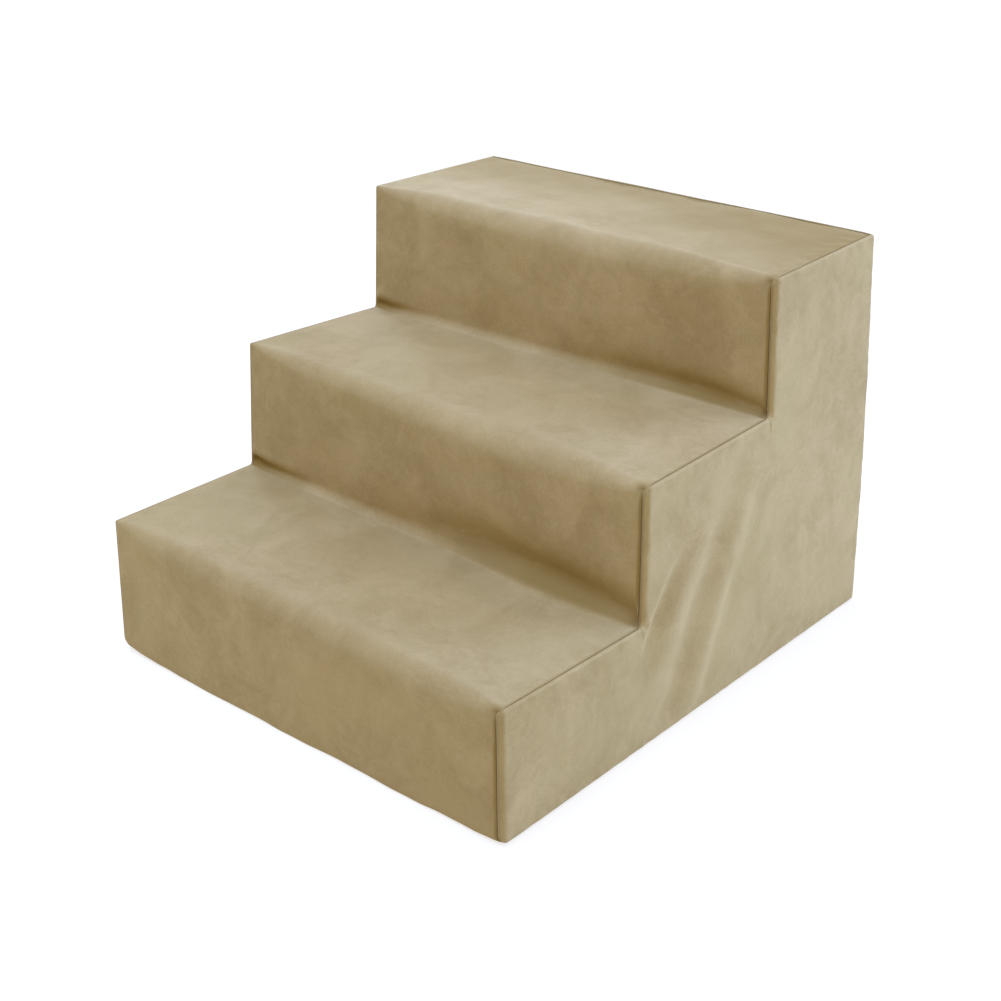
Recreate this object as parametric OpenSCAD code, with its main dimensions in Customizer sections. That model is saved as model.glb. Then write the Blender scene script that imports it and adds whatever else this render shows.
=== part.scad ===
// Three-step pet stairs: glued foam blocks in a sewn cover that opens with a zipper low on the back.
// The origin is the centre of the underside, +Z is up, and the first step faces -Y.

/* [Stairs] */
// Width across the two side panels
stair_w = 406; // [300:1:600]
// Depth of each tread
tread = 150; // [110:1:250]
// Height of each step
rise = 107; // [80:1:160]

/* [Cover] */
// Thickness of the cloth
cloth_t = 1; // [0.6:0.1:1.4]
// Space between the cloth and the foam
cloth_gap = 0.3; // [0.2:0.1:1]
// Room beside the foam that the folds of a side panel take up
side_slack = 3; // [2:0.5:6]
// Radius of the nosings
nosing_r = 14; // [11:1:24]
// Radius of the turn below the first riser
toe_r = 10; // [9:1:16]
// Radius of the cloth where a tread meets the next riser
corner_r = 4; // [2:0.5:7]
// How far the side panels roll onto the risers
riser_roll = 7; // [5:0.5:9]
// How far the side panels roll onto the treads, the back and the underside
edge_roll = 3.5; // [2.5:0.5:5]
// Height of every panel but the bottom one above the floor
hem_lift = 0.5; // [0.4:0.1:1]
// Width of the strip of step panel on the underside
hem_w = 6; // [4:0.5:20]
// Radius where a panel's end turns in to its seam
turn_r = 3; // [2.5:0.5:5]

/* [Seams] */
// Depth of the seam allowances below the face of the cloth
allowance = 7; // [5:0.5:8]
// Depth of the dip along a seam
seam_dip = 0.7; // [0:0.1:1]
// Space between the two allowances of a seam
seam_gap = 0.3; // [0.2:0.1:0.6]
// Diameter of the sewing thread
thread_d = 0.6; // [0.4:0.1:1]
// Space between a thread and the cloth it runs along
thread_gap = 0.1; // [0.05:0.05:0.3]

/* [Folds of the right side panel] */
// Depth of the fold that starts below the second riser
fold_a_d = 2.8; // [0:0.1:2.8]
// Depth of the long fold that starts at the hem
fold_b_d = 2.6; // [0:0.1:2.8]
// Depth of the short fold at the hem
fold_c_d = 1.4; // [0:0.1:2.8]
// Height of the ridge between the folds
ridge_h = 1.2; // [0:0.1:3]
// Half width of a fold
fold_w = 11; // [6:1:20]

/* [Zipper] */
// Height of the chain's middle line above the floor
zip_z = 34; // [32:1:60]
// Half of the opening between the panel edges
zip_gap = 6; // [5.8:0.1:9]
// Width of the cloth folded back behind each of these edges
fold_back = 8; // [6:0.5:14]
// Width of each tape
tape_w = 14; // [10:0.5:20]
// Thickness of the tapes
tape_t = 0.6; // [0.4:0.1:0.8]
// Length of tape past the chain at each end
tape_end = 10; // [6:0.5:30]
// Half of the width of the closed chain
coil_w = 3; // [2.6:0.1:3.2]
// Thickness of the chain
coil_t = 2.2; // [1.6:0.1:2.6]
// Distance from one turn of a coil to the next
coil_pitch = 1.6; // [1.4:0.1:3]
// Space between the teeth of the closed chain
tooth_gap = 0.15; // [0.1:0.05:0.2]
// Length of the stops
stop_l = 3; // [2:0.5:5]
// Length of a topstitch
stitch_l = 3; // [2:0.5:5]
// Distance from one topstitch to the next
stitch_pitch = 4.2; // [4:0.1:8]
// Distance from a topstitch row to the edge of its panel
stitch_in = 3; // [2:0.5:6]

/* [Slider] */
// Length of the slider
slider_l = 13; // [11:0.5:18]
// Thickness of the slider's plates
plate_t = 1.2; // [0.8:0.1:1.6]
// Thickness of the slider's side flanges
flange_w = 1.2; // [0.8:0.1:1.4]
// Running clearance of the slider
slider_gap = 0.3; // [0.2:0.05:0.4]
// Length of the wedge that parts the chain
wedge_l = 3.4; // [2.5:0.1:4]
// Half width of the wedge
wedge_w = 1.4; // [0.8:0.1:1.5]
// Width of the bail
bail_w = 1.8; // [1.2:0.1:3]
// Outer radius of the bail
bail_r = 1.6; // [1.3:0.1:2]
// Radius of the pull tab's pin
pin_r = 0.6; // [0.5:0.05:0.8]
// Running clearance around the pin
pin_gap = 0.05; // [0.02:0.01:0.09]
// Length of the pull tab from its pin
tab_l = 26; // [15:1:40]
// Width of the pull tab at its free end
tab_w = 7; // [6:0.5:10]
// Thickness of the pull tab
tab_t = 1.4; // [1.2:0.1:1.8]
// Width of the pull tab's two arms
arm_w = 1.2; // [0.8:0.1:2]
// Space between the pull tab and what it passes
tab_gap = 0.4; // [0.3:0.05:0.6]

/* [Hidden] */

CLOTH = [0.72, 0.66, 0.53];
FOAM = [0.93, 0.90, 0.80];
THREAD = [0.58, 0.51, 0.37];
TAPE = [0.60, 0.53, 0.40];
COIL = [0.55, 0.48, 0.35];
METAL = [0.62, 0.58, 0.50];

steps = 3;
front = -steps * tread / 2;
back = steps * tread / 2;
top = steps * rise;
half_w = stair_w / 2;
over = cloth_t;
nosing_parts = 6;
turn_parts = 4;

// Where the foam starts below the face of the cover
cover = cloth_t + cloth_gap;
foam_z = hem_lift + cover;
foam_half = half_w - cover - side_slack;
// How far the panels between the side panels reach, at the treads and at the risers
edge_half = half_w - edge_roll - seam_gap;
riser_half = half_w - riser_roll - seam_gap;
// Planes of the seams across the stairs
hem_y = front + toe_r + hem_w + turn_r;
top_seam_y = back - edge_roll - seam_gap;
// Distance of a thread's middle from the face of the allowance that it runs along
thread_in = cloth_t + thread_gap + thread_d / 2;
// Depth of the threads' middles below the face of the cover
thread_depth = turn_r + thread_d / 2;
// Half of the length that is free between the side seams
inner_half = edge_half - cloth_t - seam_gap;
// Depth that is left of an allowance where a seam meets another one
trim_share = 1 / 3;
trim = seam_dip + cloth_t + (turn_r - seam_dip - cloth_t) * trim_share;
// Leg of the corner that is cut off the foam along a seam, so that the allowances fit at the nosings too
relief = foam_half - riser_half + cloth_t + nosing_r - cover - (nosing_r - allowance) * cos(45)
    + cloth_gap;

// Layers of the zipper, measured along Y
zip_y = back - 2 * cloth_t - tape_t / 2;
cavity = coil_t / 2 + slider_gap;
plate_out = cavity + plate_t;
slider_half = coil_w + 2 * slider_gap + flange_w;
tape_half = inner_half;
coil_half = tape_half - tape_end;
axis_y = zip_y + plate_out + tab_gap + tab_t / 2;
wedge_x = slider_l / 2 - wedge_l - slider_gap * 2;
slider_x = coil_half + slider_gap - wedge_x;
axis_x = slider_x + slider_l * 0.08;
// The wedge is inside the slider's mouth, and the top stops are on both sides of it
stop_in = wedge_w + slider_gap;
stop_x = coil_half + slider_gap;
arm_in = bail_w / 2 + tab_gap;
eye_l = bail_r + tab_gap;

// Guides of the folds, each a list of [height as a share of the rise, place as a share of the tread]
fold_a_shares = [[0, 0.15], [0.69, 0.11], [0.91, 0.17], [1.1, 0.25], [1.36, 0.37], [1.87, 0.3]];
fold_b_shares = [[0, 0.52], [0.26, 0.573], [0.7, 0.66], [1.1, 0.78], [1.39, 0.88], [1.87, 0.75]];
ridge_shares = [[0, 0.23], [0.2, 0.293], [0.6, 0.42], [0.98, 0.587], [1.35, 0.76], [1.87, 0.6]];
// How strong each fold is along its guide
fold_a_strength_shares = [[0.5, 0], [0.75, 0.8], [0.95, 1], [1.15, 0.8], [1.45, 0]];
fold_b_strength_shares = [[0, 1], [0.5, 0.85], [1.1, 0.6], [1.6, 0]];
fold_c_strength_shares = [[0, 1], [0.25, 0.8], [0.55, 0]];
ridge_strength_shares = [[0, 0.3], [0.2, 0.8], [0.9, 1], [1.3, 0.7], [1.6, 0]];

// Slack with which a place in the side view counts as being on a line
snap_share = 0.0001;

// Lines of the side panel's net. A number in brackets is a line that follows the folds
roll_share = 1 - cos(45);
net_y = [
    front, front + riser_roll * roll_share, front + riser_roll, front + toe_r, front + nosing_r,
    for (k = [1:steps - 1]) let (y = front + k * tread) each [
        y - corner_r, y, y + riser_roll * roll_share, y + riser_roll, y + nosing_r,
        if (k == 1) each [for (m = [0:6]) [m]]
        else (y + nosing_r + back - edge_roll) / 2
    ],
    back - edge_roll, back - edge_roll * roll_share, back
];
net_z = [
    hem_lift, hem_lift + edge_roll * roll_share, hem_lift + edge_roll, hem_lift + toe_r,
    for (s = [0.26, 0.44, 0.6, 0.75]) rise * s,
    for (k = [1:steps]) let (z = k * rise) each [
        z - nosing_r, z - edge_roll, z - edge_roll * roll_share, z,
        if (k < steps) z + corner_r,
        if (k == 1) each [rise * 1.17, rise * 1.34, rise * 1.58],
        if (k == 2) rise * 2.45
    ]
];

function quad(a, b, c, d) = [[a, b, c], [a, c, d]];

// A closed solid between the two faces of a sheet, each given as rows of points. Its halves are mirrored
module sheet(outer, inner) {
    rows = len(outer);
    cols = len(outer[0]);
    back_face = rows * cols;
    function at(i, j) = i * cols + j;
    function cell(a, b, c, d, j) = 2 * j < cols - 1 ? quad(a, b, c, d) : quad(b, c, d, a);
    faces = [
        for (i = [0:rows - 2], j = [0:cols - 2])
            each cell(at(i, j), at(i + 1, j), at(i + 1, j + 1), at(i, j + 1), j),
        for (i = [0:rows - 2], j = [0:cols - 2])
            each cell(back_face + at(i, j), back_face + at(i, j + 1), back_face + at(i + 1, j + 1),
                back_face + at(i + 1, j), j),
        for (i = [0:rows - 2]) each quad(at(i, 0), back_face + at(i, 0),
            back_face + at(i + 1, 0), at(i + 1, 0)),
        for (i = [0:rows - 2]) each quad(at(i, cols - 1), at(i + 1, cols - 1),
            back_face + at(i + 1, cols - 1), back_face + at(i, cols - 1)),
        for (j = [0:cols - 2]) each quad(at(0, j), at(0, j + 1),
            back_face + at(0, j + 1), back_face + at(0, j)),
        for (j = [0:cols - 2]) each quad(at(rows - 1, j), back_face + at(rows - 1, j),
            back_face + at(rows - 1, j + 1), at(rows - 1, j + 1))
    ];
    polyhedron([for (r = outer) each r, for (r = inner) each r], faces);
}

// Rows along a bend of the side view. A row is [y, z, outward normal y, z, roll of the seam, allowance]
function bend(y, z, r, from, to, roll_a, roll_b, parts, depth = allowance) =
    [for (i = [0:parts]) let (a = from + (to - from) * i / parts)
        [y + r * cos(a), z + r * sin(a), cos(a), sin(a), roll_a + (roll_b - roll_a) * i / parts, depth]];

function toe_rows() =
    bend(front + toe_r, hem_lift + toe_r, toe_r, 270, 180, edge_roll, riser_roll, nosing_parts);

function nosing_rows(k) = bend(front + k * tread + nosing_r, (k + 1) * rise - nosing_r, nosing_r, 180, 90,
    riser_roll, edge_roll, nosing_parts);

// The cloth bends the other way here, so the radius is negative
function corner_rows(k) = bend(front + k * tread - corner_r, k * rise + corner_r, -corner_r, 90, 180,
    edge_roll, riser_roll, turn_parts);

function step_rows() = [
    each toe_rows(),
    for (k = [0:steps - 1]) each concat(k > 0 ? corner_rows(k) : [], nosing_rows(k))
];

// The side view all the way round, for the side seams
function outline_rows() = [
    each step_rows(),
    each bend(back - edge_roll, top - edge_roll, edge_roll, 90, 0, edge_roll, edge_roll, turn_parts),
    each bend(back - edge_roll, hem_lift + edge_roll, edge_roll, 0, -90, edge_roll, edge_roll, turn_parts)
];

// The step panel's own rows, with its ends turned in to the seams at the underside and at the back
function step_panel_rows() = [
    [hem_y, allowance, 1, 0, edge_roll, trim],
    each bend(hem_y - turn_r, hem_lift + turn_r, turn_r, 360, 270, edge_roll, edge_roll, turn_parts, trim),
    each step_rows(),
    [top_seam_y - turn_r - allowance, top, 0, 1, edge_roll, allowance],
    each bend(top_seam_y - turn_r, top - turn_r, turn_r, 90, 0, edge_roll, edge_roll, turn_parts, trim),
    [top_seam_y, top - allowance, 1, 0, edge_roll, trim]
];

// A point at x, at a depth below a row's place on the face of the cover
function below(row, x, depth) = [x, row[0] - row[2] * depth, row[1] - row[3] * depth];

module step_panel() {
    rows = step_panel_rows();
    function half(row) = half_w - row[4] - seam_gap;
    outer = [for (r = rows) [
        below(r, -half(r), r[5]), below(r, -half(r), seam_dip), below(r, -half(r) + riser_roll, 0),
        below(r, half(r) - riser_roll, 0), below(r, half(r), seam_dip), below(r, half(r), r[5])
    ]];
    inner = [for (r = rows) let (h = half(r) - cloth_t) [
        below(r, -h, r[5]), below(r, -h, seam_dip + cloth_t), below(r, -half(r) + riser_roll, cloth_t),
        below(r, half(r) - riser_roll, cloth_t), below(r, h, seam_dip + cloth_t), below(r, h, r[5])
    ]];
    color(CLOTH) sheet(outer, inner);
}

// Distances from a place in the side view to the outline, for a place inside it
function step_of(share) = max(0, min(steps - 1, share));
function ahead(y, z) = y - front - tread * step_of(ceil(z / rise - snap_share) - 1);
function above(y, z) = rise * (1 + step_of(floor((y - front) / tread + snap_share))) - z;

// A place near a round corner of the outline. A spot is [y, z, outward normal y, z, distance in, roll]
function corner_spot(cy, cz, sy, sz, r, y, z, roll_y) =
    let (u = abs(y - cy) / r, v = abs(z - cz) / r, a = atan2(v, u), rho = r * max(u, v))
    [cy + sy * rho * cos(a), cz + sz * rho * sin(a), sy * cos(a), sz * sin(a), r - rho,
        roll_y + (edge_roll - roll_y) * a / 90];

// A place near the inside corner below riser k
function inside_spot(y, z, dy, dz) =
    let (d = max(dy, dz), n = d > 0 ? [-dy, dz] / norm([dy, dz]) : [-cos(45), cos(45)],
        share = d > 0 ? atan2(dy, dz) / 90 : 1 / 2, bridge = d > 0 ? 0 : corner_r * (1 - cos(45)))
    [y - bridge, z + bridge, n[0], n[1], d, edge_roll + (riser_roll - edge_roll) * share];

function spot(y, z) =
    let (a = ahead(y, z), b = above(y, z), c = back - y, d = z - hem_lift,
        k = step_of(floor((y - front) / tread + snap_share)), dy = y - front - k * tread, dz = k * rise - z,
        nearest = min(a, b, c, d))
    k > 0 && dz >= 0 && max(dy, dz) < riser_roll ? inside_spot(y, z, dy, dz)
    : a < nosing_r && b < nosing_r
        ? corner_spot(y - a + nosing_r, z + b - nosing_r, -1, 1, nosing_r, y, z, riser_roll)
    : a < toe_r && d < toe_r
        ? corner_spot(front + toe_r, hem_lift + toe_r, -1, -1, toe_r, y, z, riser_roll)
    : c < edge_roll && b < edge_roll
        ? corner_spot(back - edge_roll, top - edge_roll, 1, 1, edge_roll, y, z, edge_roll)
    : c < edge_roll && d < edge_roll
        ? corner_spot(back - edge_roll, hem_lift + edge_roll, 1, -1, edge_roll, y, z, edge_roll)
    : nearest == a ? [y, z, -1, 0, a, riser_roll]
    : nearest == b ? [y, z, 0, 1, b, edge_roll]
    : nearest == c ? [y, z, 1, 0, c, edge_roll]
    : [y, z, 0, -1, d, edge_roll];

function guide(shares, z) = front + tread + tread * lookup(z / rise, shares);
function fold_y(m, z) =
    let (a = guide(fold_a_shares, z), b = guide(fold_b_shares, z), r = guide(ridge_shares, z))
    [(front + tread + nosing_r + a) / 2, a, (a + r) / 2, r, (r + b) / 2, b, (b + front + 2 * tread) / 2][m];

function bump(y, middle) = exp(-pow((y - middle) / fold_w * 1.5, 2));
// How far the right panel stands out at a place
function fold_x(y, z) =
    let (s = z / rise, a = guide(fold_a_shares, z), r = guide(ridge_shares, z))
    ridge_h * lookup(s, ridge_strength_shares) * bump(y, r)
    - fold_a_d * lookup(s, fold_a_strength_shares) * bump(y, a)
    - fold_b_d * lookup(s, fold_b_strength_shares) * bump(y, guide(fold_b_shares, z))
    - fold_c_d * lookup(s, fold_c_strength_shares) * bump(y, (a + r) / 2);

module side_panel(folds) {
    cols = len(net_z);
    size = len(net_y) * cols;
    function at(i, j) = i * cols + j;
    function line_y(i, z) = is_list(net_y[i]) ? fold_y(net_y[i][0], z) : net_y[i];
    // Whether a cell of the net is inside the side view
    function inside(i, j) = i >= 0 && j >= 0 && i < len(net_y) - 1 && j < cols - 1
        && ahead(line_y(i, rise), net_z[j + 1]) >= -snap_share * tread;
    spots = [for (i = [0:len(net_y) - 1], z = net_z) let (y = line_y(i, z))
        concat(spot(y, z), folds ? fold_x(y, z) : 0)];
    // How far a spot is rolled over, from 0 on the flat to 1 at the seam
    function rolled(s) = max(0, min(1, 1 - s[4] / s[5]));
    function fold(s) = s[6] * max(0, min(1, s[4] / edge_roll - 1));
    function dip(s) = seam_dip * pow(rolled(s), 6);
    outer = [for (s = spots) let (f = rolled(s))
        below(s, half_w - s[5] * (1 - cos(asin(f))) + fold(s), dip(s))];
    inner = [for (s = spots) let (f = rolled(s))
        below(s, half_w - s[5] + (f < 1 ? (s[5] - cloth_t) * cos(asin(f)) + fold(s) : cloth_t),
            dip(s) + cloth_t * f)];
    hem_out = [for (s = spots) below(s, half_w - s[5], allowance)];
    hem_in = [for (s = spots) below(s, half_w - s[5] + cloth_t, allowance)];
    cells = [for (i = [0:len(net_y) - 2], j = [0:cols - 2]) if (inside(i, j)) [i, j]];
    // The sides of the cells that are on the outline, each as two places in the net
    rim = [for (c = cells) let (i = c[0], j = c[1]) each [
        if (!inside(i, j - 1)) [at(i, j), at(i + 1, j)],
        if (!inside(i + 1, j)) [at(i + 1, j), at(i + 1, j + 1)],
        if (!inside(i, j + 1)) [at(i + 1, j + 1), at(i, j + 1)],
        if (!inside(i - 1, j)) [at(i, j + 1), at(i, j)]
    ]];
    faces = [
        for (c = cells) let (i = c[0], j = c[1])
            each quad(at(i, j), at(i, j + 1), at(i + 1, j + 1), at(i + 1, j)),
        for (c = cells) let (i = c[0], j = c[1])
            for (f = quad(at(i, j), at(i + 1, j), at(i + 1, j + 1), at(i, j + 1))) f + size * [1, 1, 1],
        for (r = rim) let (p = r[0], q = r[1]) each [
            each quad(p, q, q + 2 * size, p + 2 * size),
            each quad(p + 2 * size, q + 2 * size, q + 3 * size, p + 3 * size),
            each quad(p + 3 * size, q + 3 * size, q + size, p + size)
        ]
    ];
    polyhedron(concat(outer, inner, hem_out, hem_in), faces);
}

module right_side_panel() {
    color(CLOTH) side_panel(true);
}

module left_side_panel() {
    color(CLOTH) mirror([1, 0, 0]) side_panel(false);
}

// Extrudes a side view across the stairs, between -half and half
module across(half) {
    translate([-half, 0, 0]) rotate([90, 0, 90]) linear_extrude(2 * half) children();
}

// A quarter of a ring in the side view: sy and sz point to the corner that it rounds
module rounded_turn(y, z, sy, sz) {
    translate([y, z]) intersection() {
        difference() {
            circle(edge_roll, $fn = 48);
            circle(edge_roll - cloth_t, $fn = 48);
        }
        translate([min(0, sy) * edge_roll, min(0, sz) * edge_roll]) square(edge_roll);
    }
}

// The allowances at the two sides of a back panel
module back_allowances(z0, z1) {
    for (x = [-edge_half, edge_half - cloth_t])
        translate([x, back - allowance, z0]) cube([cloth_t, allowance - cloth_t / 2, z1 - z0]);
}

module back_upper_panel() {
    z0 = zip_z + zip_gap;
    color(CLOTH) {
        across(edge_half) {
            translate([back - cloth_t, z0]) square([cloth_t, top - edge_roll - z0]);
            translate([back - 2 * cloth_t, z0]) square([cloth_t, fold_back]);
            rounded_turn(back - edge_roll, top - edge_roll, 1, 1);
            translate([back - edge_roll, top - allowance]) square([cloth_t, allowance]);
        }
        back_allowances(z0 + fold_back + cloth_t, top - allowance - cloth_t);
    }
}

module back_lower_panel() {
    z1 = zip_z - zip_gap;
    color(CLOTH) {
        across(edge_half) {
            translate([back - cloth_t, hem_lift + edge_roll]) square([cloth_t, z1 - hem_lift - edge_roll]);
            translate([back - 2 * cloth_t, z1 - fold_back]) square([cloth_t, fold_back]);
            rounded_turn(back - edge_roll, hem_lift + edge_roll, 1, -1);
            translate([back - edge_roll, hem_lift]) square([cloth_t, allowance - hem_lift]);
        }
        back_allowances(allowance + cloth_t, z1 - fold_back - cloth_t);
    }
}

module bottom_panel() {
    y0 = hem_y + seam_gap;
    length = top_seam_y - y0;
    color(CLOTH) translate([-edge_half, y0, 0]) difference() {
        cube([2 * edge_half, length, allowance]);
        translate([cloth_t, cloth_t, cloth_t])
            cube([2 * (edge_half - cloth_t), length - 2 * cloth_t, allowance]);
    }
}

// A prism that cuts one long edge of a foam block: a triangle with its right angle at the origin
module edge_cut(length) {
    linear_extrude(length) polygon([[-over, -over], [relief + over, -over], [-over, relief + over]]);
}

// Cuts one long edge of a foam block across the stairs; sy and sz point out of the block
module cross_cut(y, z, sy, sz) {
    across(foam_half + over) polygon([
        [y + sy * over, z + sz * over], [y - sy * relief, z + sz * over], [y + sy * over, z - sz * relief]
    ]);
}

// Cuts for the seams of the two sides. Riser k stands in front of the block, and its tread ends at y1
module side_cuts(k, z0, z1, y1) {
    y0 = front + k * tread + cover;
    for (side = [0, 1]) mirror([side, 0, 0]) {
        translate([foam_half, y0, z0 - over]) rotate([0, 0, 90]) edge_cut(z1 - z0 + 2 * over);
        translate([foam_half, back - cover, z0 - over]) rotate([0, 0, 180]) edge_cut(z1 - z0 + 2 * over);
        translate([foam_half, y0 - over, z1]) rotate([-90, 90, 0]) edge_cut(y1 - y0 + over);
    }
}

// One foam block with its nosing, before the cuts
module foam_body(k, z0, front_r) {
    y0 = front + k * tread + cover;
    z1 = (k + 1) * rise - cover;
    across(foam_half) difference() {
        translate([y0, z0]) square([back - cover - y0, z1 - z0]);
        difference() {
            translate([y0 - over, z1 - nosing_r + cover]) square([nosing_r - cover + over, nosing_r]);
            translate([y0 + nosing_r - cover, z1 - nosing_r + cover]) circle(nosing_r - cover, $fn = 64);
        }
        if (front_r > 0) difference() {
            translate([y0 - over, z0 - over]) square(front_r + over);
            translate([y0 + front_r, z0 + front_r]) circle(front_r, $fn = 64);
        }
    }
}

module foam_base_block() {
    z1 = rise - cover;
    slit_w = turn_r + seam_gap + thread_in + thread_d / 2 + 2 * cloth_gap;
    tape_room = zip_gap + tape_w + cloth_t;
    slider_room = slider_half + cloth_t;
    color(FOAM) difference() {
        foam_body(0, foam_z, toe_r - cover);
        side_cuts(0, foam_z, z1, front + tread + allowance + cloth_gap);
        for (side = [0, 1]) mirror([side, 0, 0])
            translate([foam_half, front, foam_z]) rotate([-90, 180, 0]) edge_cut(back - front);
        // Slit for the seam at the front of the underside
        translate([-foam_half - over, hem_y - turn_r - cloth_gap, 0])
            cube([2 * (foam_half + over), slit_w, allowance + cloth_gap]);
        cross_cut(back - cover, foam_z, 1, -1);
        // Room for the tapes and for the slider
        translate([-foam_half - over, zip_y - tape_t / 2 - cloth_gap, zip_z - tape_room])
            cube([2 * (foam_half + over), back, 2 * tape_room]);
        translate([-foam_half - over, zip_y - plate_out - tab_gap, zip_z - slider_room])
            cube([2 * (foam_half + over), back, 2 * slider_room]);
    }
}

module foam_middle_block() {
    z0 = rise - cover;
    color(FOAM) difference() {
        foam_body(1, z0, 0);
        side_cuts(1, z0, 2 * rise - cover, front + 2 * tread + allowance + cloth_gap);
    }
}

module foam_top_block() {
    z0 = 2 * rise - cover;
    z1 = top - cover;
    color(FOAM) difference() {
        foam_body(2, z0, 0);
        side_cuts(2, z0, z1, back);
        cross_cut(back - cover, z1, 1, 1);
    }
}

// The thread of a side seam: a closed loop of six-sided tube beside the allowances
module seam_loop() {
    rows = outline_rows();
    sides = 6;
    n = len(rows);
    points = [for (r = rows, s = [0:sides - 1])
        let (a = 360 * s / sides)
        below(r, half_w - r[4] + thread_in + thread_d / 2 * cos(a), thread_depth + thread_d / 2 * sin(a))];
    function at(i, s) = (i % n) * sides + s % sides;
    polyhedron(points, [for (i = [0:n - 1], s = [0:sides - 1])
        each quad(at(i, s), at(i + 1, s), at(i + 1, s + 1), at(i, s + 1))]);
}

module right_seam_thread() {
    color(THREAD) seam_loop();
}

module left_seam_thread() {
    color(THREAD) mirror([1, 0, 0]) seam_loop();
}

// A thread across the stairs
module straight_thread(y, z) {
    color(THREAD) translate([-inner_half, y, z]) rotate([0, 90, 0])
        cylinder(h = 2 * inner_half, d = thread_d, $fn = 24);
}

module top_back_seam_thread() {
    straight_thread(top_seam_y - seam_dip - thread_in, top - thread_depth);
}

module bottom_front_seam_thread() {
    straight_thread(hem_y + seam_gap + thread_in, thread_depth);
}

module bottom_back_seam_thread() {
    straight_thread(top_seam_y - thread_in, thread_depth);
}

// Places what is drawn in the XZ plane, h thick, on both sides of the chain's plane
module in_chain(h) {
    translate([0, zip_y + h / 2, zip_z]) rotate([90, 0, 0]) linear_extrude(h) children();
}

module tape() {
    color(TAPE) in_chain(tape_t) translate([-tape_half, coil_w]) square([2 * tape_half, tape_w]);
}

module zipper_upper_tape() {
    tape();
}

module zipper_lower_tape() {
    translate([0, 0, 2 * zip_z]) mirror([0, 0, 1]) tape();
}

// Half of the chain: a strip with a tooth in every pitch, shifted along by a share of the pitch
module coil(shift_share) {
    tooth = coil_pitch / 2 - tooth_gap;
    strip = coil_w * 0.3;
    teeth = floor(2 * coil_half / coil_pitch) - 1;
    x0 = coil_half - (teeth + 1) * coil_pitch + shift_share * coil_pitch;
    color(COIL) in_chain(coil_t) polygon([
        [-coil_half, coil_w],
        [-coil_half, strip],
        for (i = [0:teeth - 1]) let (x = x0 + i * coil_pitch) each [
            [x, strip], [x, tooth_gap - strip], [x + tooth, tooth_gap - strip], [x + tooth, strip]
        ],
        [coil_half, strip],
        [coil_half, coil_w]
    ]);
}

module zipper_upper_coil() {
    coil(0);
}

module zipper_lower_coil() {
    translate([0, 0, 2 * zip_z]) mirror([0, 0, 1]) coil(0.5);
}

module zipper_top_stops() {
    color(METAL) in_chain(coil_t) for (z = [-coil_w, stop_in])
        translate([stop_x, z]) square([stop_l, coil_w - stop_in]);
}

module zipper_bottom_stop() {
    color(METAL) in_chain(coil_t) translate([-coil_half - stop_l, -coil_w]) square([stop_l, 2 * coil_w]);
}

// A row of topstitches at a height on the back
module stitches(z) {
    count = floor((2 * edge_half - 2 * allowance) / stitch_pitch);
    color(THREAD) for (i = [0:count - 1])
        translate([(i - (count - 1) / 2) * stitch_pitch - stitch_l / 2, back, z - thread_d / 2])
            cube([stitch_l, thread_d * 2 / 3, thread_d]);
}

module zipper_upper_stitches() {
    stitches(zip_z + zip_gap + stitch_in);
}

module zipper_lower_stitches() {
    stitches(zip_z - zip_gap - stitch_in);
}

// Outline of the slider's plates: wider at the mouth, where the two halves of the chain come in
module plate_outline() {
    tail = slider_half * 0.85;
    polygon([
        [-slider_l / 2, -tail], [slider_l * 0.1, -slider_half], [slider_l * 0.38, -slider_half],
        [slider_l / 2, -tail], [slider_l / 2, tail], [slider_l * 0.38, slider_half],
        [slider_l * 0.1, slider_half], [-slider_l / 2, tail]
    ]);
}

module zipper_slider() {
    slot = tape_t / 2 + slider_gap;
    inner_half = coil_w + 2 * slider_gap;
    color(METAL) translate([slider_x, zip_y, zip_z]) rotate([90, 0, 0]) {
        for (face = [0, 1]) mirror([0, 0, face]) {
            translate([0, 0, cavity]) linear_extrude(plate_t) plate_outline();
            translate([0, 0, slot]) linear_extrude(cavity - slot + plate_t / 2) difference() {
                plate_outline();
                translate([-slider_l, -inner_half]) square([2 * slider_l, 2 * inner_half]);
            }
        }
        translate([wedge_x, 0, -cavity - plate_t / 2]) linear_extrude(2 * cavity + plate_t) polygon([
            [0, 0], [wedge_l * 0.45, wedge_w], [wedge_l, wedge_w * 0.7], [wedge_l, -wedge_w * 0.7],
            [wedge_l * 0.45, -wedge_w]
        ]);
        bail();
    }
}

// The bail stands on the plate that faces out, which is the -Z side in the slider's own axes
module bail() {
    x = axis_x - slider_x;
    out = axis_y - zip_y;
    leg = out - cavity - plate_t / 2;
    translate([x, -bail_w / 2, -out]) rotate([-90, 0, 0]) difference() {
        union() {
            cylinder(h = bail_w, r = bail_r, $fn = 48);
            translate([-bail_r, -leg, 0]) cube([2 * bail_r, leg, bail_w]);
        }
        translate([0, 0, -over]) cylinder(h = bail_w + 2 * over, r = pin_r + pin_gap, $fn = 48);
    }
}

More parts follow.
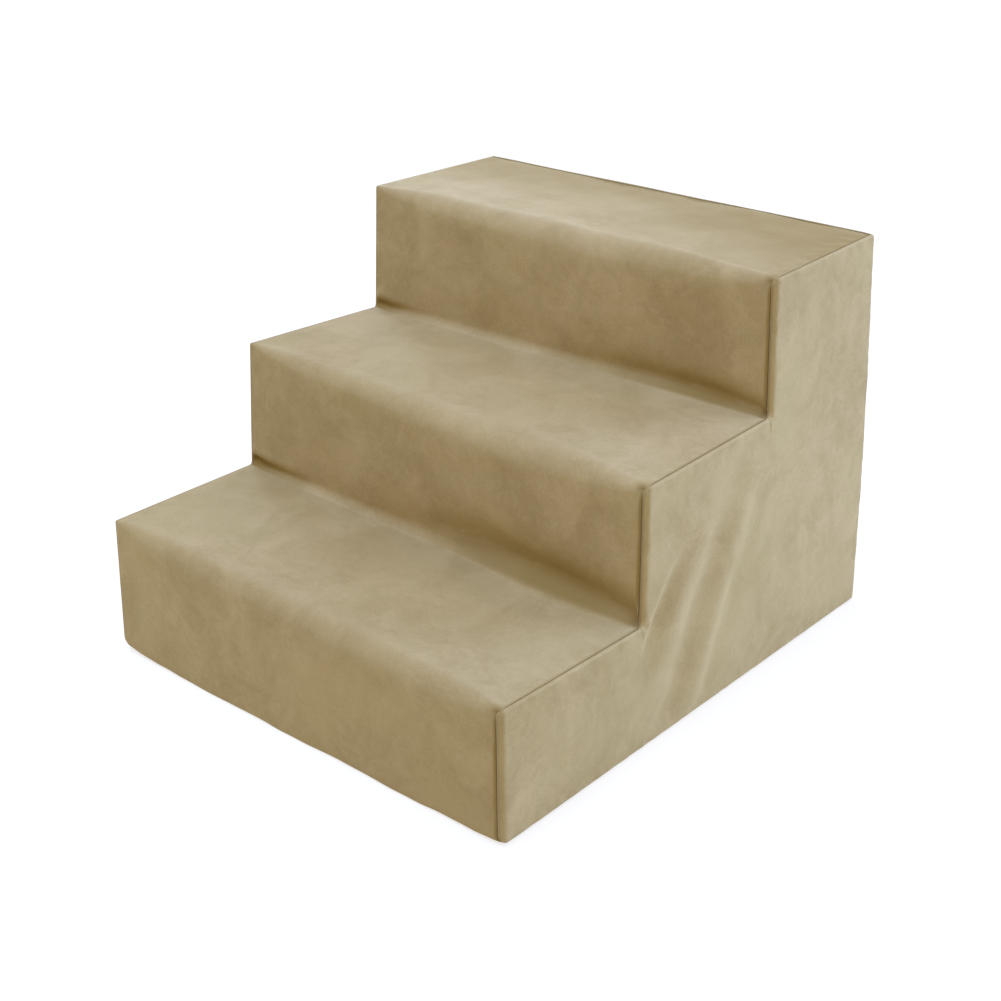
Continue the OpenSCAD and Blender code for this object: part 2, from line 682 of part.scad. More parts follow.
module zipper_pull_tab() {
    arm_out = arm_in + arm_w;
    color(METAL) translate([axis_x, axis_y, zip_z]) {
        translate([0, 0, -arm_out]) cylinder(h = 2 * arm_out, r = pin_r, $fn = 48);
        rotate([90, 0, 0]) translate([0, 0, -tab_t / 2]) linear_extrude(tab_t) difference() {
            polygon([
                [0, -arm_out], [0, arm_out], [-eye_l - arm_w, arm_out], [-tab_l * 0.45, tab_w / 2],
                [-tab_l * 0.94, tab_w / 2], [-tab_l, tab_w * 0.35], [-tab_l, -tab_w * 0.35],
                [-tab_l * 0.94, -tab_w / 2], [-tab_l * 0.45, -tab_w / 2], [-eye_l - arm_w, -arm_out]
            ]);
            translate([-eye_l, -arm_in]) square([eye_l + over, 2 * arm_in]);
        }
        for (z = [-arm_out, arm_in]) translate([0, 0, z]) cylinder(h = arm_w, r = tab_t / 2, $fn = 48);
    }
}

foam_base_block();
foam_middle_block();
foam_top_block();
step_panel();
right_side_panel();
left_side_panel();
back_upper_panel();
back_lower_panel();
bottom_panel();
right_seam_thread();
left_seam_thread();
top_back_seam_thread();
bottom_front_seam_thread();
bottom_back_seam_thread();
zipper_upper_tape();
zipper_lower_tape();
zipper_upper_coil();
zipper_lower_coil();
zipper_top_stops();
zipper_bottom_stop();
zipper_upper_stitches();
zipper_lower_stitches();
zipper_slider();
zipper_pull_tab();
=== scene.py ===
"""Three-step pet stairs: a sewn microsuede cover over foam blocks, with a zipper low on the back."""

import functools
import math

import bmesh
import bpy
import numpy as np
from bpy.props import FloatProperty, FloatVectorProperty, PointerProperty
from mathutils import Matrix, Vector
from mathutils.bvhtree import BVHTree


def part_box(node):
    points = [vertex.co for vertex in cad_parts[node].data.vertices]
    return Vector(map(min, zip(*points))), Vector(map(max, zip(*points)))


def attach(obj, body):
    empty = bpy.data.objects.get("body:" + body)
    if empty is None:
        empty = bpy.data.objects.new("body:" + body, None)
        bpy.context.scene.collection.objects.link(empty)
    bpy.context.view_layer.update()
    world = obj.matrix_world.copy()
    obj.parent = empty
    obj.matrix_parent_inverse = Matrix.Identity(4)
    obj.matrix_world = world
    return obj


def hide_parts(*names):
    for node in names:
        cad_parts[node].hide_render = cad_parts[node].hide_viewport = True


bl_info = {
    "name": "Pet Stairs",
    "version": (1, 0, 0),
    "blender": (4, 5, 0),
    "location": "View3D > Sidebar > Pet Stairs",
    "description": "Sews the cover of three-step foam pet stairs and sets the stage for them",
    "category": "Add Mesh",
}

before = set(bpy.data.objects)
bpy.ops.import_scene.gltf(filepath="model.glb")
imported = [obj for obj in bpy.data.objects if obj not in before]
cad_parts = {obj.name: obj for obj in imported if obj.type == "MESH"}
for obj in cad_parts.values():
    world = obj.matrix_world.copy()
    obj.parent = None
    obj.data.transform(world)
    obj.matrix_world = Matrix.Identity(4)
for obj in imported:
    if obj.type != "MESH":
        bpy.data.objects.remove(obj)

HALF_W = -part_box("left_side_panel")[0].x
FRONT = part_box("step_panel")[0].y
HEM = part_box("step_panel")[0].z
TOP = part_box("step_panel")[1].z
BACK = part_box("back_upper_panel")[1].y
STEPS = 3
TREAD = (BACK - FRONT) / STEPS
RISE = TOP / STEPS
TOP_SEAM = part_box("step_panel")[1].y
HEM_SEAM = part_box("bottom_panel")[0].y
ZIP_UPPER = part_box("back_upper_panel")[0].z
ZIP_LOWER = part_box("back_lower_panel")[1].z
ZIP_Z = (ZIP_UPPER + ZIP_LOWER) / 2
LEFT_GAP = 0.00005
CHAIN_ROOM = 0.0002
STOP_END = CHAIN_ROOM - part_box("zipper_bottom_stop")[0].x
CHAIN_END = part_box("zipper_slider")[1].x + CHAIN_ROOM
MM = 0.001
TINY = 1e-9

# How far the first lines of a panel's grid lie from its seam, and how deep its turned-in lines lie
BESIDE_SEAM = np.array([0, 0.2, 0.5, 0.9, 1.4, 2.1, 3.1, 4.5, 6.3, 8.6]) * MM
TURNED_IN = np.array([4, 2.8, 1.6]) * MM

# How much fuller each nosing is than its radius, and where across the stairs it is fullest
FULLER = (0.001, 0.0055, 0.0035)
FULLEST_AT = (0.03, 0.07, 0.02)

# Shares of the lip and of the shade at the left seam, at the treads' right seam and at the risers'
LIP_SHARES = (0.2, 0.35, 0.45)
SHADE_SHARES = (0.2, 0.5, 1.0)

# The unevenness of the cloth: how high its small waves are beside the broad ones, how far from a seam
# the waves and the puckers have their full height, over which distance the puckers die away, on the
# side panels too, and how much higher they are there
SMALL_WAVES = 0.3
WAVES_FROM = 0.02
PUCKERS_FROM = 0.003
PUCKER_REACH = 0.008
SIDE_PUCKER_REACH = 0.009
SIDE_PUCKERS = 1.3

# Where round a corner the seam changes from one roll to the other, and the grid step of plain panels
ROLL_CHANGE = (0.2, 0.8)
COARSE_STEP = 0.0045

# How far a pinched corner draws in the step panel, and the right side panel
STEP_PINCH = 0.003
SIDE_PINCH = 0.0012

# How far the soft stairs have settled out of true, in millimetres along y and z. Each row is a level
# (floor, first, second and third tread), each entry one of the lines where the risers and the back
# stand. The first table is for the left side, the second for the right.
SETTLED = (
    (
        ((0, 0), (0, 0), (0, 0), (0, 0)),
        ((4.0, 7.2), (-5.0, 7.2), (0, 0), (0, 0)),
        ((2.6, 5.8), (2.6, 5.8), (-2.4, -1.2), (3.0, -1.0)),
        ((4.2, -1.2), (4.2, -1.2), (4.2, -1.2), (7.8, -5.0)),
    ),
    (
        ((0, 0), (0, 0), (0, 0), (0, 0)),
        ((0.0, -1.3), (2.6, -5.2), (0, 0), (0, 0)),
        ((3.2, -5.0), (3.2, -5.0), (5.5, -1.4), (-4.4, 0.5)),
        ((1.8, -1.0), (1.8, -1.0), (1.8, -1.0), (-11.3, 1.4)),
    ),
)

# Creases on the risers, as (across the stairs, height above the tread, depth), all in millimetres,
# after the width of each crease below and above its middle
CREASES = {
    1: [
        (
            (7.0, 10.0),
            [
                (-70, 7, 0), (-20, 10, 0.8), (20, 14, 1.4), (56, 19, 2.2), (80, 18.5, 2.7), (108, 15, 3.2),
                (135, 14, 3.4), (160, 13, 3.2), (193, 10.5, 2.4),
            ],
        ),
        ((2.6, 2.8), [(-200, 6.5, 4.4), (-185, 5.4, 3.2), (-160, 4.4, 1.6), (-120, 3, 0)]),
    ],
    2: [
        (
            (4.5, 7.0),
            [
                (-10, 5, 0), (55, 7, 1.2), (100, 8.5, 2.3), (125, 8.5, 3.0), (160, 6.5, 3.2),
                (182, 4.5, 2.6), (200, 2.5, 2.0),
            ],
        ),
        ((2.2, 2.6), [(-200, 5.5, 3.8), (-185, 4.4, 2.6), (-165, 3.6, 1.2), (-130, 3, 0)]),
    ],
}

# The loose cloth where a tread meets the next riser: places across the stairs, how far it reaches
# onto the tread and up the riser, and how far it bags out between, all in millimetres
LOOSE = {
    1: [
        (-203, 3, 3, 0), (-170, 7, 7, 0), (35, 7.5, 7.5, 0), (70, 12, 13, 1.8), (98, 17, 16, 3.8),
        (150, 16, 15, 4.0), (180, 12, 12, 2.8), (203, 5, 5, 0),
    ],
    2: [
        (-203, 3, 3, 0), (-170, 7, 7, 0), (60, 7.5, 7.5, 0), (105, 9, 9.5, 0.8), (150, 10, 10.5, 1.8),
        (185, 7, 7, 1.0), (203, 5, 5, 0),
    ],
}

# Loose folds of the right side panel. They run up and back: a fold's middle is at y = place + slant * z.
# A fold is (place, slant, height, width before, width behind, and its strength from the floor up), with
# all lengths in millimetres.
FOLDS = [
    (-132, 0.7, -3.2, 7, 14, [(82, 0), (93, 0.7), (105, 1), (126, 0.8), (156, 0)]),
    (-101, 0.66, 1.5, 12, 18, [(40, 0), (70, 0.6), (95, 1), (130, 0.7), (185, 0)]),
    (-48, 0.42, -2.2, 16, 20, [(0, 0.4), (30, 0.8), (60, 1), (120, 0.9), (165, 0.4), (225, 0)]),
    (-20, 0.42, 2.1, 18, 14, [(0, 0.5), (40, 0.9), (80, 1), (120, 0.8), (160, 0.4), (205, 0)]),
    (-3, 0.42, -0.7, 9, 15, [(0, 0.8), (60, 0.8), (130, 0)]),
]


def steady(low, high, value):
    """A smooth step from 0 at low to 1 at high."""
    t = np.clip((value - low) / (high - low), 0, 1)
    return t * t * (3 - 2 * t)


def ripples(seed, wave, count=28):
    """A smooth random height over space, mostly from -1 to 1, whose waves are about one wave long."""
    rng = np.random.default_rng(seed)
    ways = rng.normal(size=(count, 3))
    ways /= np.linalg.norm(ways, axis=1)[:, None]
    ways *= (2 * math.pi / (wave * rng.uniform(0.75, 1.6, count)))[:, None]
    phases = rng.uniform(0, 2 * math.pi, count)
    return lambda points: np.sin(points @ ways.T + phases).sum(axis=-1) * math.sqrt(2 / count) / 1.8


def settle(points):
    """Moves points of the cover, its seams and the foam to where the soft stairs have settled."""
    table = np.array(SETTLED) * MM
    column = np.clip((points[..., 1] - FRONT) / TREAD, -0.2, STEPS + 0.2)
    row = np.clip(points[..., 2] / RISE, -0.2, STEPS + 0.2)
    i, j = np.clip(row.astype(int), 0, STEPS - 1), np.clip(column.astype(int), 0, STEPS - 1)
    up, along = (row - i)[..., None], (column - j)[..., None]
    shifts = [
        (side[i, j] * (1 - along) + side[i, j + 1] * along) * (1 - up)
        + (side[i + 1, j] * (1 - along) + side[i + 1, j + 1] * along) * up
        for side in table
    ]
    share = ((points[..., 0] + HALF_W) / (2 * HALF_W))[..., None]
    moved = points.copy()
    moved[..., 1:] += shifts[0] * (1 - share) + shifts[1] * share
    return moved


def deselect():
    """Leaves edit mode and selects nothing."""
    if bpy.context.object and bpy.context.object.mode != "OBJECT":
        bpy.ops.object.mode_set(mode="OBJECT")
    bpy.ops.object.select_all(action="DESELECT")


def pick(piece):
    """Makes a piece the only one selected, and the active one."""
    deselect()
    piece.hide_set(False)
    piece.select_set(True)
    bpy.context.view_layer.objects.active = piece
    return piece


def just_made(name):
    """The piece that an operator has just made, under this name."""
    piece = bpy.context.object
    piece.name = piece.data.name = name
    return piece


def smooth(piece, degrees=None):
    """Shades a piece smooth all over, or only where its faces meet at fewer degrees than these."""
    pick(piece)
    if degrees is None:
        bpy.ops.object.shade_smooth()
    else:
        bpy.ops.object.shade_smooth_by_angle(angle=math.radians(degrees))


def settle_transform(piece):
    """Puts a piece's place into its mesh."""
    pick(piece)
    bpy.ops.object.transform_apply(location=True, rotation=True, scale=True)


def finish_with(piece, kind, **settings):
    """Adds a modifier with these settings and applies it."""
    pick(piece)
    modifier = piece.modifiers.new(kind.title(), kind)
    for key, value in settings.items():
        setattr(modifier, key, value)
    bpy.ops.object.modifier_apply(modifier=modifier.name)


def places_of(piece):
    """The places of a piece's points, as rows of x, y and z."""
    return np.array([v.co for v in piece.data.vertices])


def move_points(piece, places):
    """Moves a piece's points to these places."""
    piece.data.vertices.foreach_set("co", places.ravel())
    piece.data.update()


def attribute(piece, name, values):
    """Gives each point of a piece a value under this name."""
    layer = piece.data.attributes.new(name, "FLOAT", "POINT")
    layer.data.foreach_set("value", np.asarray(values, np.float32).ravel())


def cut_cloth(name, points, size, marks=None, keep=None):
    """Cuts a piece of cloth as a flat grid and lays its points where they belong.

    points has a row of places for each line of the grid, size is the flat cloth's width and length,
    marks holds one value a point for each attribute, and keep says which squares of the grid stay.
    """
    rows, columns = points.shape[:2]
    deselect()
    bpy.ops.mesh.primitive_grid_add(x_subdivisions=columns - 1, y_subdivisions=rows - 1, size=2)
    piece = just_made(name)
    mesh = piece.data
    flat = np.zeros(len(mesh.vertices) * 3)
    mesh.vertices.foreach_get("co", flat)
    flat = flat.reshape(-1, 3)
    column = np.rint((flat[:, 0] + 1) / 2 * (columns - 1)).astype(int)
    row = np.rint((flat[:, 1] + 1) / 2 * (rows - 1)).astype(int)
    mesh.vertices.foreach_set("co", points[row, column].ravel())
    uv = np.zeros(len(mesh.loops) * 2)
    mesh.uv_layers[0].data.foreach_get("uv", uv)
    uv = uv.reshape(-1, 2) * np.array(size)
    mesh.uv_layers[0].data.foreach_set("uv", uv.ravel())
    for key, values in (marks or {}).items():
        attribute(piece, key, values[row, column])
    if keep is not None:
        work = bmesh.new()
        work.from_mesh(mesh)
        work.faces.ensure_lookup_table()
        gone = []
        for face in work.faces:
            corners = [v.index for v in face.verts]
            if not keep[row[corners].min(), column[corners].min()]:
                gone.append(face)
        bmesh.ops.delete(work, geom=gone, context="FACES")
        work.to_mesh(mesh)
        work.free()
    mesh.update()
    return piece


def thicken(piece, thickness):
    """Gives a sheet its thickness, inwards, and shades it smooth."""
    finish_with(piece, "SOLIDIFY", thickness=thickness, offset=-1)
    smooth(piece)


def dress(piece, material, slot, body, *nodes):
    """Gives a piece its material, lets it ride on a body and stand for CAD nodes; slot is not used."""
    piece.data.materials.clear()
    piece.data.materials.append(material)
    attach(piece, body)
    if nodes:
        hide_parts(*nodes)
    return piece


def plug(node, values):
    """Gives a node's inputs, by name or number, a value each or a link from another node."""
    for key, value in values.items():
        if isinstance(value, bpy.types.NodeSocket):
            node.id_data.links.new(value, node.inputs[key])
        else:
            node.inputs[key].default_value = value


def adder(tree):
    """A function that adds a node to a tree and fills its inputs: some in order, others by name."""

    def add(kind, settings=None, *inputs, **named):
        node = tree.nodes.new(kind)
        for key, value in (settings or {}).items():
            setattr(node, key, value)
        plug(node, dict(enumerate(inputs)))
        plug(node, {key.replace("_", " "): value for key, value in named.items()})
        return node

    return add


def shader(name):
    """Makes a function that gives the shader's inputs into one that gives the material, made once."""

    def decorate(inputs_of):
        @functools.wraps(inputs_of)
        def give(group):
            material = bpy.data.materials.get(name)
            if material is None:
                material = bpy.data.materials.new(name)
                material.use_nodes = True
                add = adder(material.node_tree)
                place = add("ShaderNodeTexCoord").outputs["Object"]
                plug(material.node_tree.nodes["Principled BSDF"], inputs_of(add, place, group))
            return material

        return give

    return decorate


def linear(colour, alpha=True):
    """A colour as it is written on screen, made linear for a shader."""
    values = [c / 12.92 if c <= 0.04045 else ((c + 0.055) / 1.055) ** 2.4 for c in colour[:3]]
    return (*values, 1.0) if alpha else tuple(values)


def mixed(add, factor, a, b, blend="MIX"):
    """A colour between a and b."""
    node = add("ShaderNodeMix", {"data_type": "RGBA", "blend_type": blend})
    plug(node, {0: factor, 6: a, 7: b})
    return node.outputs[2]


def dappled(add, factor, colour, least):
    """A colour that goes down to a share of itself where the factor is 0."""
    return mixed(add, factor, linear([c * least for c in colour]), linear(colour))


def ranged(add, value, low, high, to_low=0.0, to_high=1.0):
    """A value moved smoothly from one range into another."""
    settings = {"interpolation_type": "SMOOTHSTEP"}
    return add("ShaderNodeMapRange", settings, value, low, high, to_low, to_high).outputs[0]


def maths(add, operation, a, b):
    """What this operation makes of two values."""
    return add("ShaderNodeMath", {"operation": operation}, a, b).outputs[0]


def grey(add, value):
    """A grey of this brightness."""
    return add("ShaderNodeCombineColor", Red=value, Green=value, Blue=value).outputs[0]


def noise(add, place, scale, detail, roughness=0.5, distortion=0.0):
    """A noise over the object's own space."""
    node = add("ShaderNodeTexNoise", Vector=place, Scale=scale, Detail=detail, Roughness=roughness)
    plug(node, {"Distortion": distortion})
    return node.outputs[0]


def wave(add, place, way, scale, distortion=0.0):
    """A wave whose bands run this way."""
    settings = {"bands_direction": way}
    return add("ShaderNodeTexWave", settings, Vector=place, Scale=scale, Distortion=distortion).outputs[1]


def bumped(add, height, strength, distance, **under):
    """A normal that a height tilts, on its own or over another normal."""
    return add("ShaderNodeBump", Strength=strength, Distance=distance, Height=height, **under).outputs[0]


@shader("Microsuede")
def microsuede(add, place, cover):
    """Short-napped cloth: broad patches where the nap lies another way, fine grain, painted shade along the
    seams, in creases and at pinched corners, and treads made darker towards the back.
    """
    patches = noise(add, place, scale=17.0, detail=5.0, roughness=0.62, distortion=0.7)
    strokes = noise(add, place, scale=62.0, detail=6.0, roughness=0.68, distortion=1.2)
    tint = noise(add, place, scale=9.0, detail=3.0, distortion=0.3)
    grain = noise(add, place, scale=900.0, detail=3.0, roughness=0.7)
    nap = maths(add, "MULTIPLY", ranged(add, patches, 0.34, 0.68), 0.6)
    streak = maths(add, "MULTIPLY", ranged(add, strokes, 0.3, 0.72), 0.4)
    lie = maths(add, "ADD", nap, streak)
    colour = mixed(add, lie, linear(cover.nap_down_colour), linear(cover.nap_up_colour))
    hue = maths(add, "MULTIPLY", ranged(add, tint, 0.36, 0.66), 0.35)
    colour = mixed(add, hue, colour, linear(cover.olive_colour))
    speck = grey(add, ranged(add, grain, 0.3, 0.75, 0.9, 1.06))
    colour = mixed(add, 1.0, colour, speck, "MULTIPLY")
    worn = add("ShaderNodeAttribute", {"attribute_name": "worn"}).outputs["Fac"]
    colour = mixed(add, maths(add, "MULTIPLY", worn, 0.15), colour, linear(cover.worn_colour))
    # The seam attribute mixes in painted shade (seam grooves, turned-in cloth, creases, pinched corners) and
    # the treads' darkening towards the back
    seam = add("ShaderNodeAttribute", {"attribute_name": "seam"}).outputs["Fac"]
    fine = bumped(add, grain, strength=0.35, distance=0.0004)
    return {
        "Base Color": mixed(add, seam, colour, linear(cover.painted_shade_colour)),
        "Roughness": ranged(add, strokes, 0.3, 0.7, 0.82, 0.97),
        "Specular IOR Level": 0.2,
        "Sheen Weight": cover.sheen,
        "Sheen Roughness": 0.45,
        "Sheen Tint": linear((0.97, 0.92, 0.82)),
        "Normal": bumped(add, strokes, strength=0.3, distance=0.0012, Normal=fine),
    }


@shader("Foam")
def foam_cells(add, place, cover):
    """Open-cell foam: pale, matt and pitted all over."""
    cells = add("ShaderNodeTexVoronoi", Vector=place, Scale=420.0).outputs[0]
    clouds = noise(add, place, scale=14.0, detail=3.0)
    colour = dappled(add, clouds, cover.foam_colour, least=0.9)
    pits = grey(add, ranged(add, cells, 0.1, 0.7, 1.0, 0.72))
    return {
        "Base Color": mixed(add, 1.0, colour, pits, "MULTIPLY"),
        "Roughness": 0.95,
        "Specular IOR Level": 0.15,
        "Normal": bumped(add, cells, strength=0.6, distance=0.0006),
    }


@shader("Sewing thread")
def twisted_thread(add, place, cover):
    """Sewing thread with the slanting lines of its twist."""
    twist = wave(add, place, "DIAGONAL", scale=900.0, distortion=0.6)
    return {
        "Base Color": dappled(add, twist, cover.thread_colour, least=0.7),
        "Roughness": 0.62,
        "Normal": bumped(add, twist, strength=0.5, distance=0.0002),
    }


@shader("Zipper tape")
def woven_tape(add, place, zipper):
    """Polyester zipper tape in a fine slanting weave."""
    slanted = add("ShaderNodeMapping", Vector=place, Rotation=(0.0, math.radians(32), 0.0)).outputs[0]
    warp, weft = wave(add, slanted, "X", scale=520.0), wave(add, place, "Z", scale=420.0)
    weave = maths(add, "MULTIPLY", warp, weft)
    return {
        "Base Color": dappled(add, weave, zipper.tape_colour, least=0.78),
        "Roughness": 0.78,
        "Sheen Weight": 0.15,
        "Normal": bumped(add, weave, strength=0.45, distance=0.0002),
    }


@shader("Zipper nylon")
def moulded_nylon(add, place, zipper):
    """Slightly glossy nylon of the zipper's coils."""
    streaks = noise(add, place, scale=240.0, detail=2.0)
    return {
        "Base Color": dappled(add, streaks, zipper.coil_colour, least=0.86),
        "Roughness": ranged(add, streaks, 0.3, 0.7, 0.32, 0.5),
        "IOR": 1.53,
        "Normal": bumped(add, streaks, strength=0.15, distance=0.0001),
    }


@shader("Zipper enamel")
def satin_enamel(add, place, zipper):
    """Tan enamel on die-cast zinc, slightly uneven, as dipped."""
    dip = noise(add, place, scale=320.0, detail=4.0)
    return {
        "Base Color": dappled(add, dip, zipper.enamel_colour, least=0.88),
        "Metallic": 0.35,
        "Roughness": ranged(add, dip, 0.3, 0.7, 0.3, 0.46),
        "Coat Weight": 0.2,
        "Coat Roughness": 0.25,
        "Normal": bumped(add, dip, strength=0.12, distance=0.0001),
    }


def a_length(name, description, default):
    """A length that the user can change."""
    return FloatProperty(name=name, description=description, default=default, unit="LENGTH")


def a_colour(name, description, default):
    """A colour that the user can change, as it is written on screen."""
    return FloatVectorProperty(name=name, description=description, default=default, subtype="COLOR_GAMMA")


def an_angle(name, description, degrees):
    """An angle that the user can change."""
    return FloatProperty(name=name, description=description, default=math.radians(degrees), subtype="ANGLE")


def a_strength(name, description, default):
    """A strength that the user can change and that can't be negative."""
    return FloatProperty(name=name, description=description, default=default, min=0.0)


class StairCover(bpy.types.PropertyGroup):
    """Sizes and colours of the sewn cover and the foam"""

    cloth_thickness: a_length("Cloth thickness", "Thickness of the cloth", 0.0009)
    grid_step: a_length("Grid step", "Distance between the lines of the cloth's grid", 0.0031)
    nosing_radius: a_length("Nosing radius", "Radius of the cloth over the front edge of a tread", 0.014)
    right_nosing: a_length(
        "Nosing radius on the right", "Radius of the front edge of a tread at the right seam", 0.0055
    )
    left_nosing: a_length(
        "Nosing radius on the left", "Radius of the front edge of a tread at the left seam", 0.0018
    )
    toe_radius: a_length("Toe radius", "Radius of the turn below the first riser", 0.002)
    toe_corner: a_length(
        "Toe corner", "Radius of that turn at the right seam; the left one is half as large again", 0.007
    )
    right_corner: a_length(
        "Corner radius on the right", "Radius at the right seam where a tread meets the next riser", 0.0045
    )
    left_corner: a_length(
        "Corner radius on the left", "Radius at the left seam where a tread meets the next riser", 0.0018
    )
    turn_radius: a_length("Turn radius", "Radius where a panel's end turns in to its seam", 0.003)
    riser_roll: a_length("Roll onto the risers", "How far the right side panel rolls onto the risers", 0.005)
    edge_roll: a_length(
        "Roll onto the treads", "How far the right side panel rolls onto the other faces", 0.0025
    )
    left_roll: a_length(
        "Roll on the left", "How far the left side panel rolls onto the other panels", 0.0019
    )
    allowance: a_length("Seam allowance", "Width of the cloth turned in at a seam", 0.007)
    seam_gap: a_length("Seam gap", "Gap between the two panels of the right seam", 0.0005)
    seam_dip: a_length("Seam dip", "How far the cloth is drawn in along a seam", 0.0009)
    lip: a_length("Lip", "Radius over which the cloth turns into a seam", 0.0012)
    wave_height: a_length("Wave height", "Height of the broad unevenness of the cloth", 0.0009)
    pucker_height: a_length("Pucker height", "Height of the small puckers along the seams", 0.00045)
    fold_scale: a_strength("Fold scale", "Scale of the folds of the right side panel", 1.7)
    sheen: FloatProperty(
        name="Sheen", description="Strength of the nap's sheen", default=0.5, min=0.0, max=1.0
    )
    nap_up_colour: a_colour("Nap up", "Colour where the nap stands up", (0.75, 0.69, 0.56))
    nap_down_colour: a_colour("Nap down", "Colour where the nap is brushed down", (0.655, 0.59, 0.45))
    olive_colour: a_colour("Olive tint", "Cooler tint of some patches", (0.695, 0.65, 0.49))
    worn_colour: a_colour("Rubbed nap", "Colour of the nap rubbed along the nosings", (0.8, 0.75, 0.64))
    # Colour of the painted shade that the seam attribute mixes in
    painted_shade_colour: a_colour("Seam shade", "Colour deep in a seam", (0.57, 0.495, 0.315))
    thread_colour: a_colour("Thread", "Colour of the sewing thread", (0.58, 0.51, 0.37))
    foam_colour: a_colour("Foam", "Colour of the foam", (0.93, 0.9, 0.8))


class StairZipper(bpy.types.PropertyGroup):
    """Sizes and colours of the zipper"""

    coil_pitch: a_length("Coil pitch", "Distance from one turn of a coil to the next", 0.0016)
    wire_radius: a_length("Coil wire radius", "Radius of the nylon that a coil is wound from", 0.0003)
    head: a_length("Coil head", "How far each coil reaches past the chain's middle line", 0.0007)
    stitch_pitch: a_length("Stitch pitch", "Distance from one topstitch to the next", 0.0042)
    bevel: a_length("Metal edge", "Width of the rounded edges of the metal parts", 0.00018)
    tape_colour: a_colour("Tape", "Colour of the woven tape", (0.6, 0.53, 0.4))
    coil_colour: a_colour("Coil", "Colour of the nylon coil", (0.55, 0.48, 0.35))
    enamel_colour: a_colour("Enamel", "Colour of the enamelled slider and stops", (0.62, 0.58, 0.5))


class StairStudio(bpy.types.PropertyGroup):
    """The camera, the lamps and the light from all round"""

    azimuth: an_angle("Azimuth", "Turn of the camera to the right of the front", 41.462)
    elevation: an_angle("Elevation", "How far the camera looks down", 23.465)
    roll: an_angle("Roll", "How far the camera leans over", -0.689)
    camera_place: FloatVectorProperty(
        name="Camera place", description="Where the camera stands", default=(0.82855, -0.9304, 0.70539),
        subtype="TRANSLATION", unit="LENGTH",
    )
    lens: FloatProperty(name="Lens", description="Focal length in millimetres", default=61.958, min=10.0)
    shift_up: FloatProperty(name="Shift", description="Vertical shift of the lens", default=-0.06)
    side_power: a_strength("Side lamp", "Power of the lamp to the right, behind", 93.0)
    top_power: a_strength("Top lamp", "Power of the lamp above", 109.0)
    left_power: a_strength("Left lamp", "Power of the lamp behind on the left, for the sheen", 32.0)
    lamp_colour: a_colour("Lamps", "Colour of the three lamps", (0.71, 0.825, 1.0))
    room_light: a_strength("Room light", "Strength of the light from all round", 0.6)
    room_colour: a_colour("Room colour", "Colour of the light from all round", (1.0, 0.88, 0.625))


def spread(low, high, step):
    """Places from low to high, evenly, about a step apart."""
    return np.linspace(low, high, max(2, int(math.ceil((high - low) / step)) + 1))


def lines(*runs):
    """The lines of a grid from several runs of places, each place once."""
    return np.unique(np.round(np.concatenate([np.atleast_1d(r) for r in runs]), 6))


def nosing_radius(cover, k, x):
    """The radius of a nosing along its length: sharp at the seams, fuller where the foam rounds off."""
    full_run, sharp_run, sharp_end = 0.1, 0.033, 0.003
    end = np.where(np.asarray(x) > 0, cover.right_nosing, cover.left_nosing)
    wide = cover.nosing_radius - end + FULLER[k] * np.exp(-(((x - FULLEST_AT[k]) / full_run) ** 2))
    return end + wide * (1 - np.exp(-np.clip(HALF_W - sharp_end - abs(x), 0, None) / sharp_run))


def toe_radius(cover, x):
    """The radius of the turn below the first riser: it grows towards its two ends."""
    reach = 0.018
    end = np.where(np.asarray(x) > 0, cover.toe_corner, 1.5 * cover.toe_corner)
    return cover.toe_radius + (end - cover.toe_radius) * np.exp(-(HALF_W - abs(x)) / reach)


def rolls(cover, side):
    """How far a side panel rolls onto the risers, and onto the other faces."""
    return (cover.riser_roll, cover.edge_roll) if side > 0 else (cover.left_roll, cover.left_roll)


def bend_share(angle):
    """How much of the risers' roll the seam has round a convex corner, from 0 degrees at the riser."""
    tangent = math.tan(math.radians(min(angle, 90 - angle)))
    ahead, above = (0, 1 - tangent) if angle <= 45 else (1 - tangent, 0)
    return float(steady(*ROLL_CHANGE, (above + 0.5) / (ahead + above + 1)))


def loose_cloth(cover, k, x):
    """How far the cloth below riser k reaches onto the tread and up the riser, and how far it bags out."""
    near = steady(0, 0.014, HALF_W - 0.001 - abs(x))
    at, *columns = (np.array(c) * MM for c in zip(*LOOSE[k]))
    seam = np.where(np.asarray(x) > 0, cover.right_corner, cover.left_corner)
    loose = []
    for column, end in zip(columns, (seam, seam, 0)):
        value = sum(np.interp(x + shift * MM, at, column) for shift in (-14, -7, 0, 7, 14)) / 5
        loose.append(end + (value - end) * near)
    return loose


def creases(k, x, above):
    """How far the creases draw the cloth in at places this high above the tread, and how they shade it."""
    push, shade = np.zeros_like(x), np.zeros_like(x)
    swell, swell_at, swell_width, darkest_from = 0.3, 2.6, 1.6, 3.2 * MM
    for (below, over), crease in CREASES.get(k, []):
        at, height, depth = (np.array(c) * MM for c in zip(*sorted(crease)))
        middle = np.interp(x, at, height)
        deep = np.interp(x, at, depth, left=depth[0], right=depth[-1])
        gap = above - middle
        width = np.where(gap < 0, below, over) * MM
        push -= deep * np.exp(-((gap / width) ** 2))
        push += swell * deep * np.exp(-(((gap - swell_at * over * MM) / (swell_width * over * MM)) ** 2))
        dark = np.where(gap < 0, 1.0, 0.75 * np.exp(-((gap / width / 1.5) ** 2)))
        shade = np.maximum(shade, np.clip(deep / darkest_from, 0, 1) * dark)
    return push, shade


def brushed(k, t, x):
    """How much darker tread k is made: towards the back, and on the top one towards the right too."""
    if k + 1 < STEPS:
        return (0.3 - 0.15 * k) * steady(0.5, 1, t) * (1 - steady(0.05, 0.15, x))
    return np.clip(0.95 * steady(0.1, 0.95, t) + 0.55 * steady(0, 0.21, x), 0, 1)


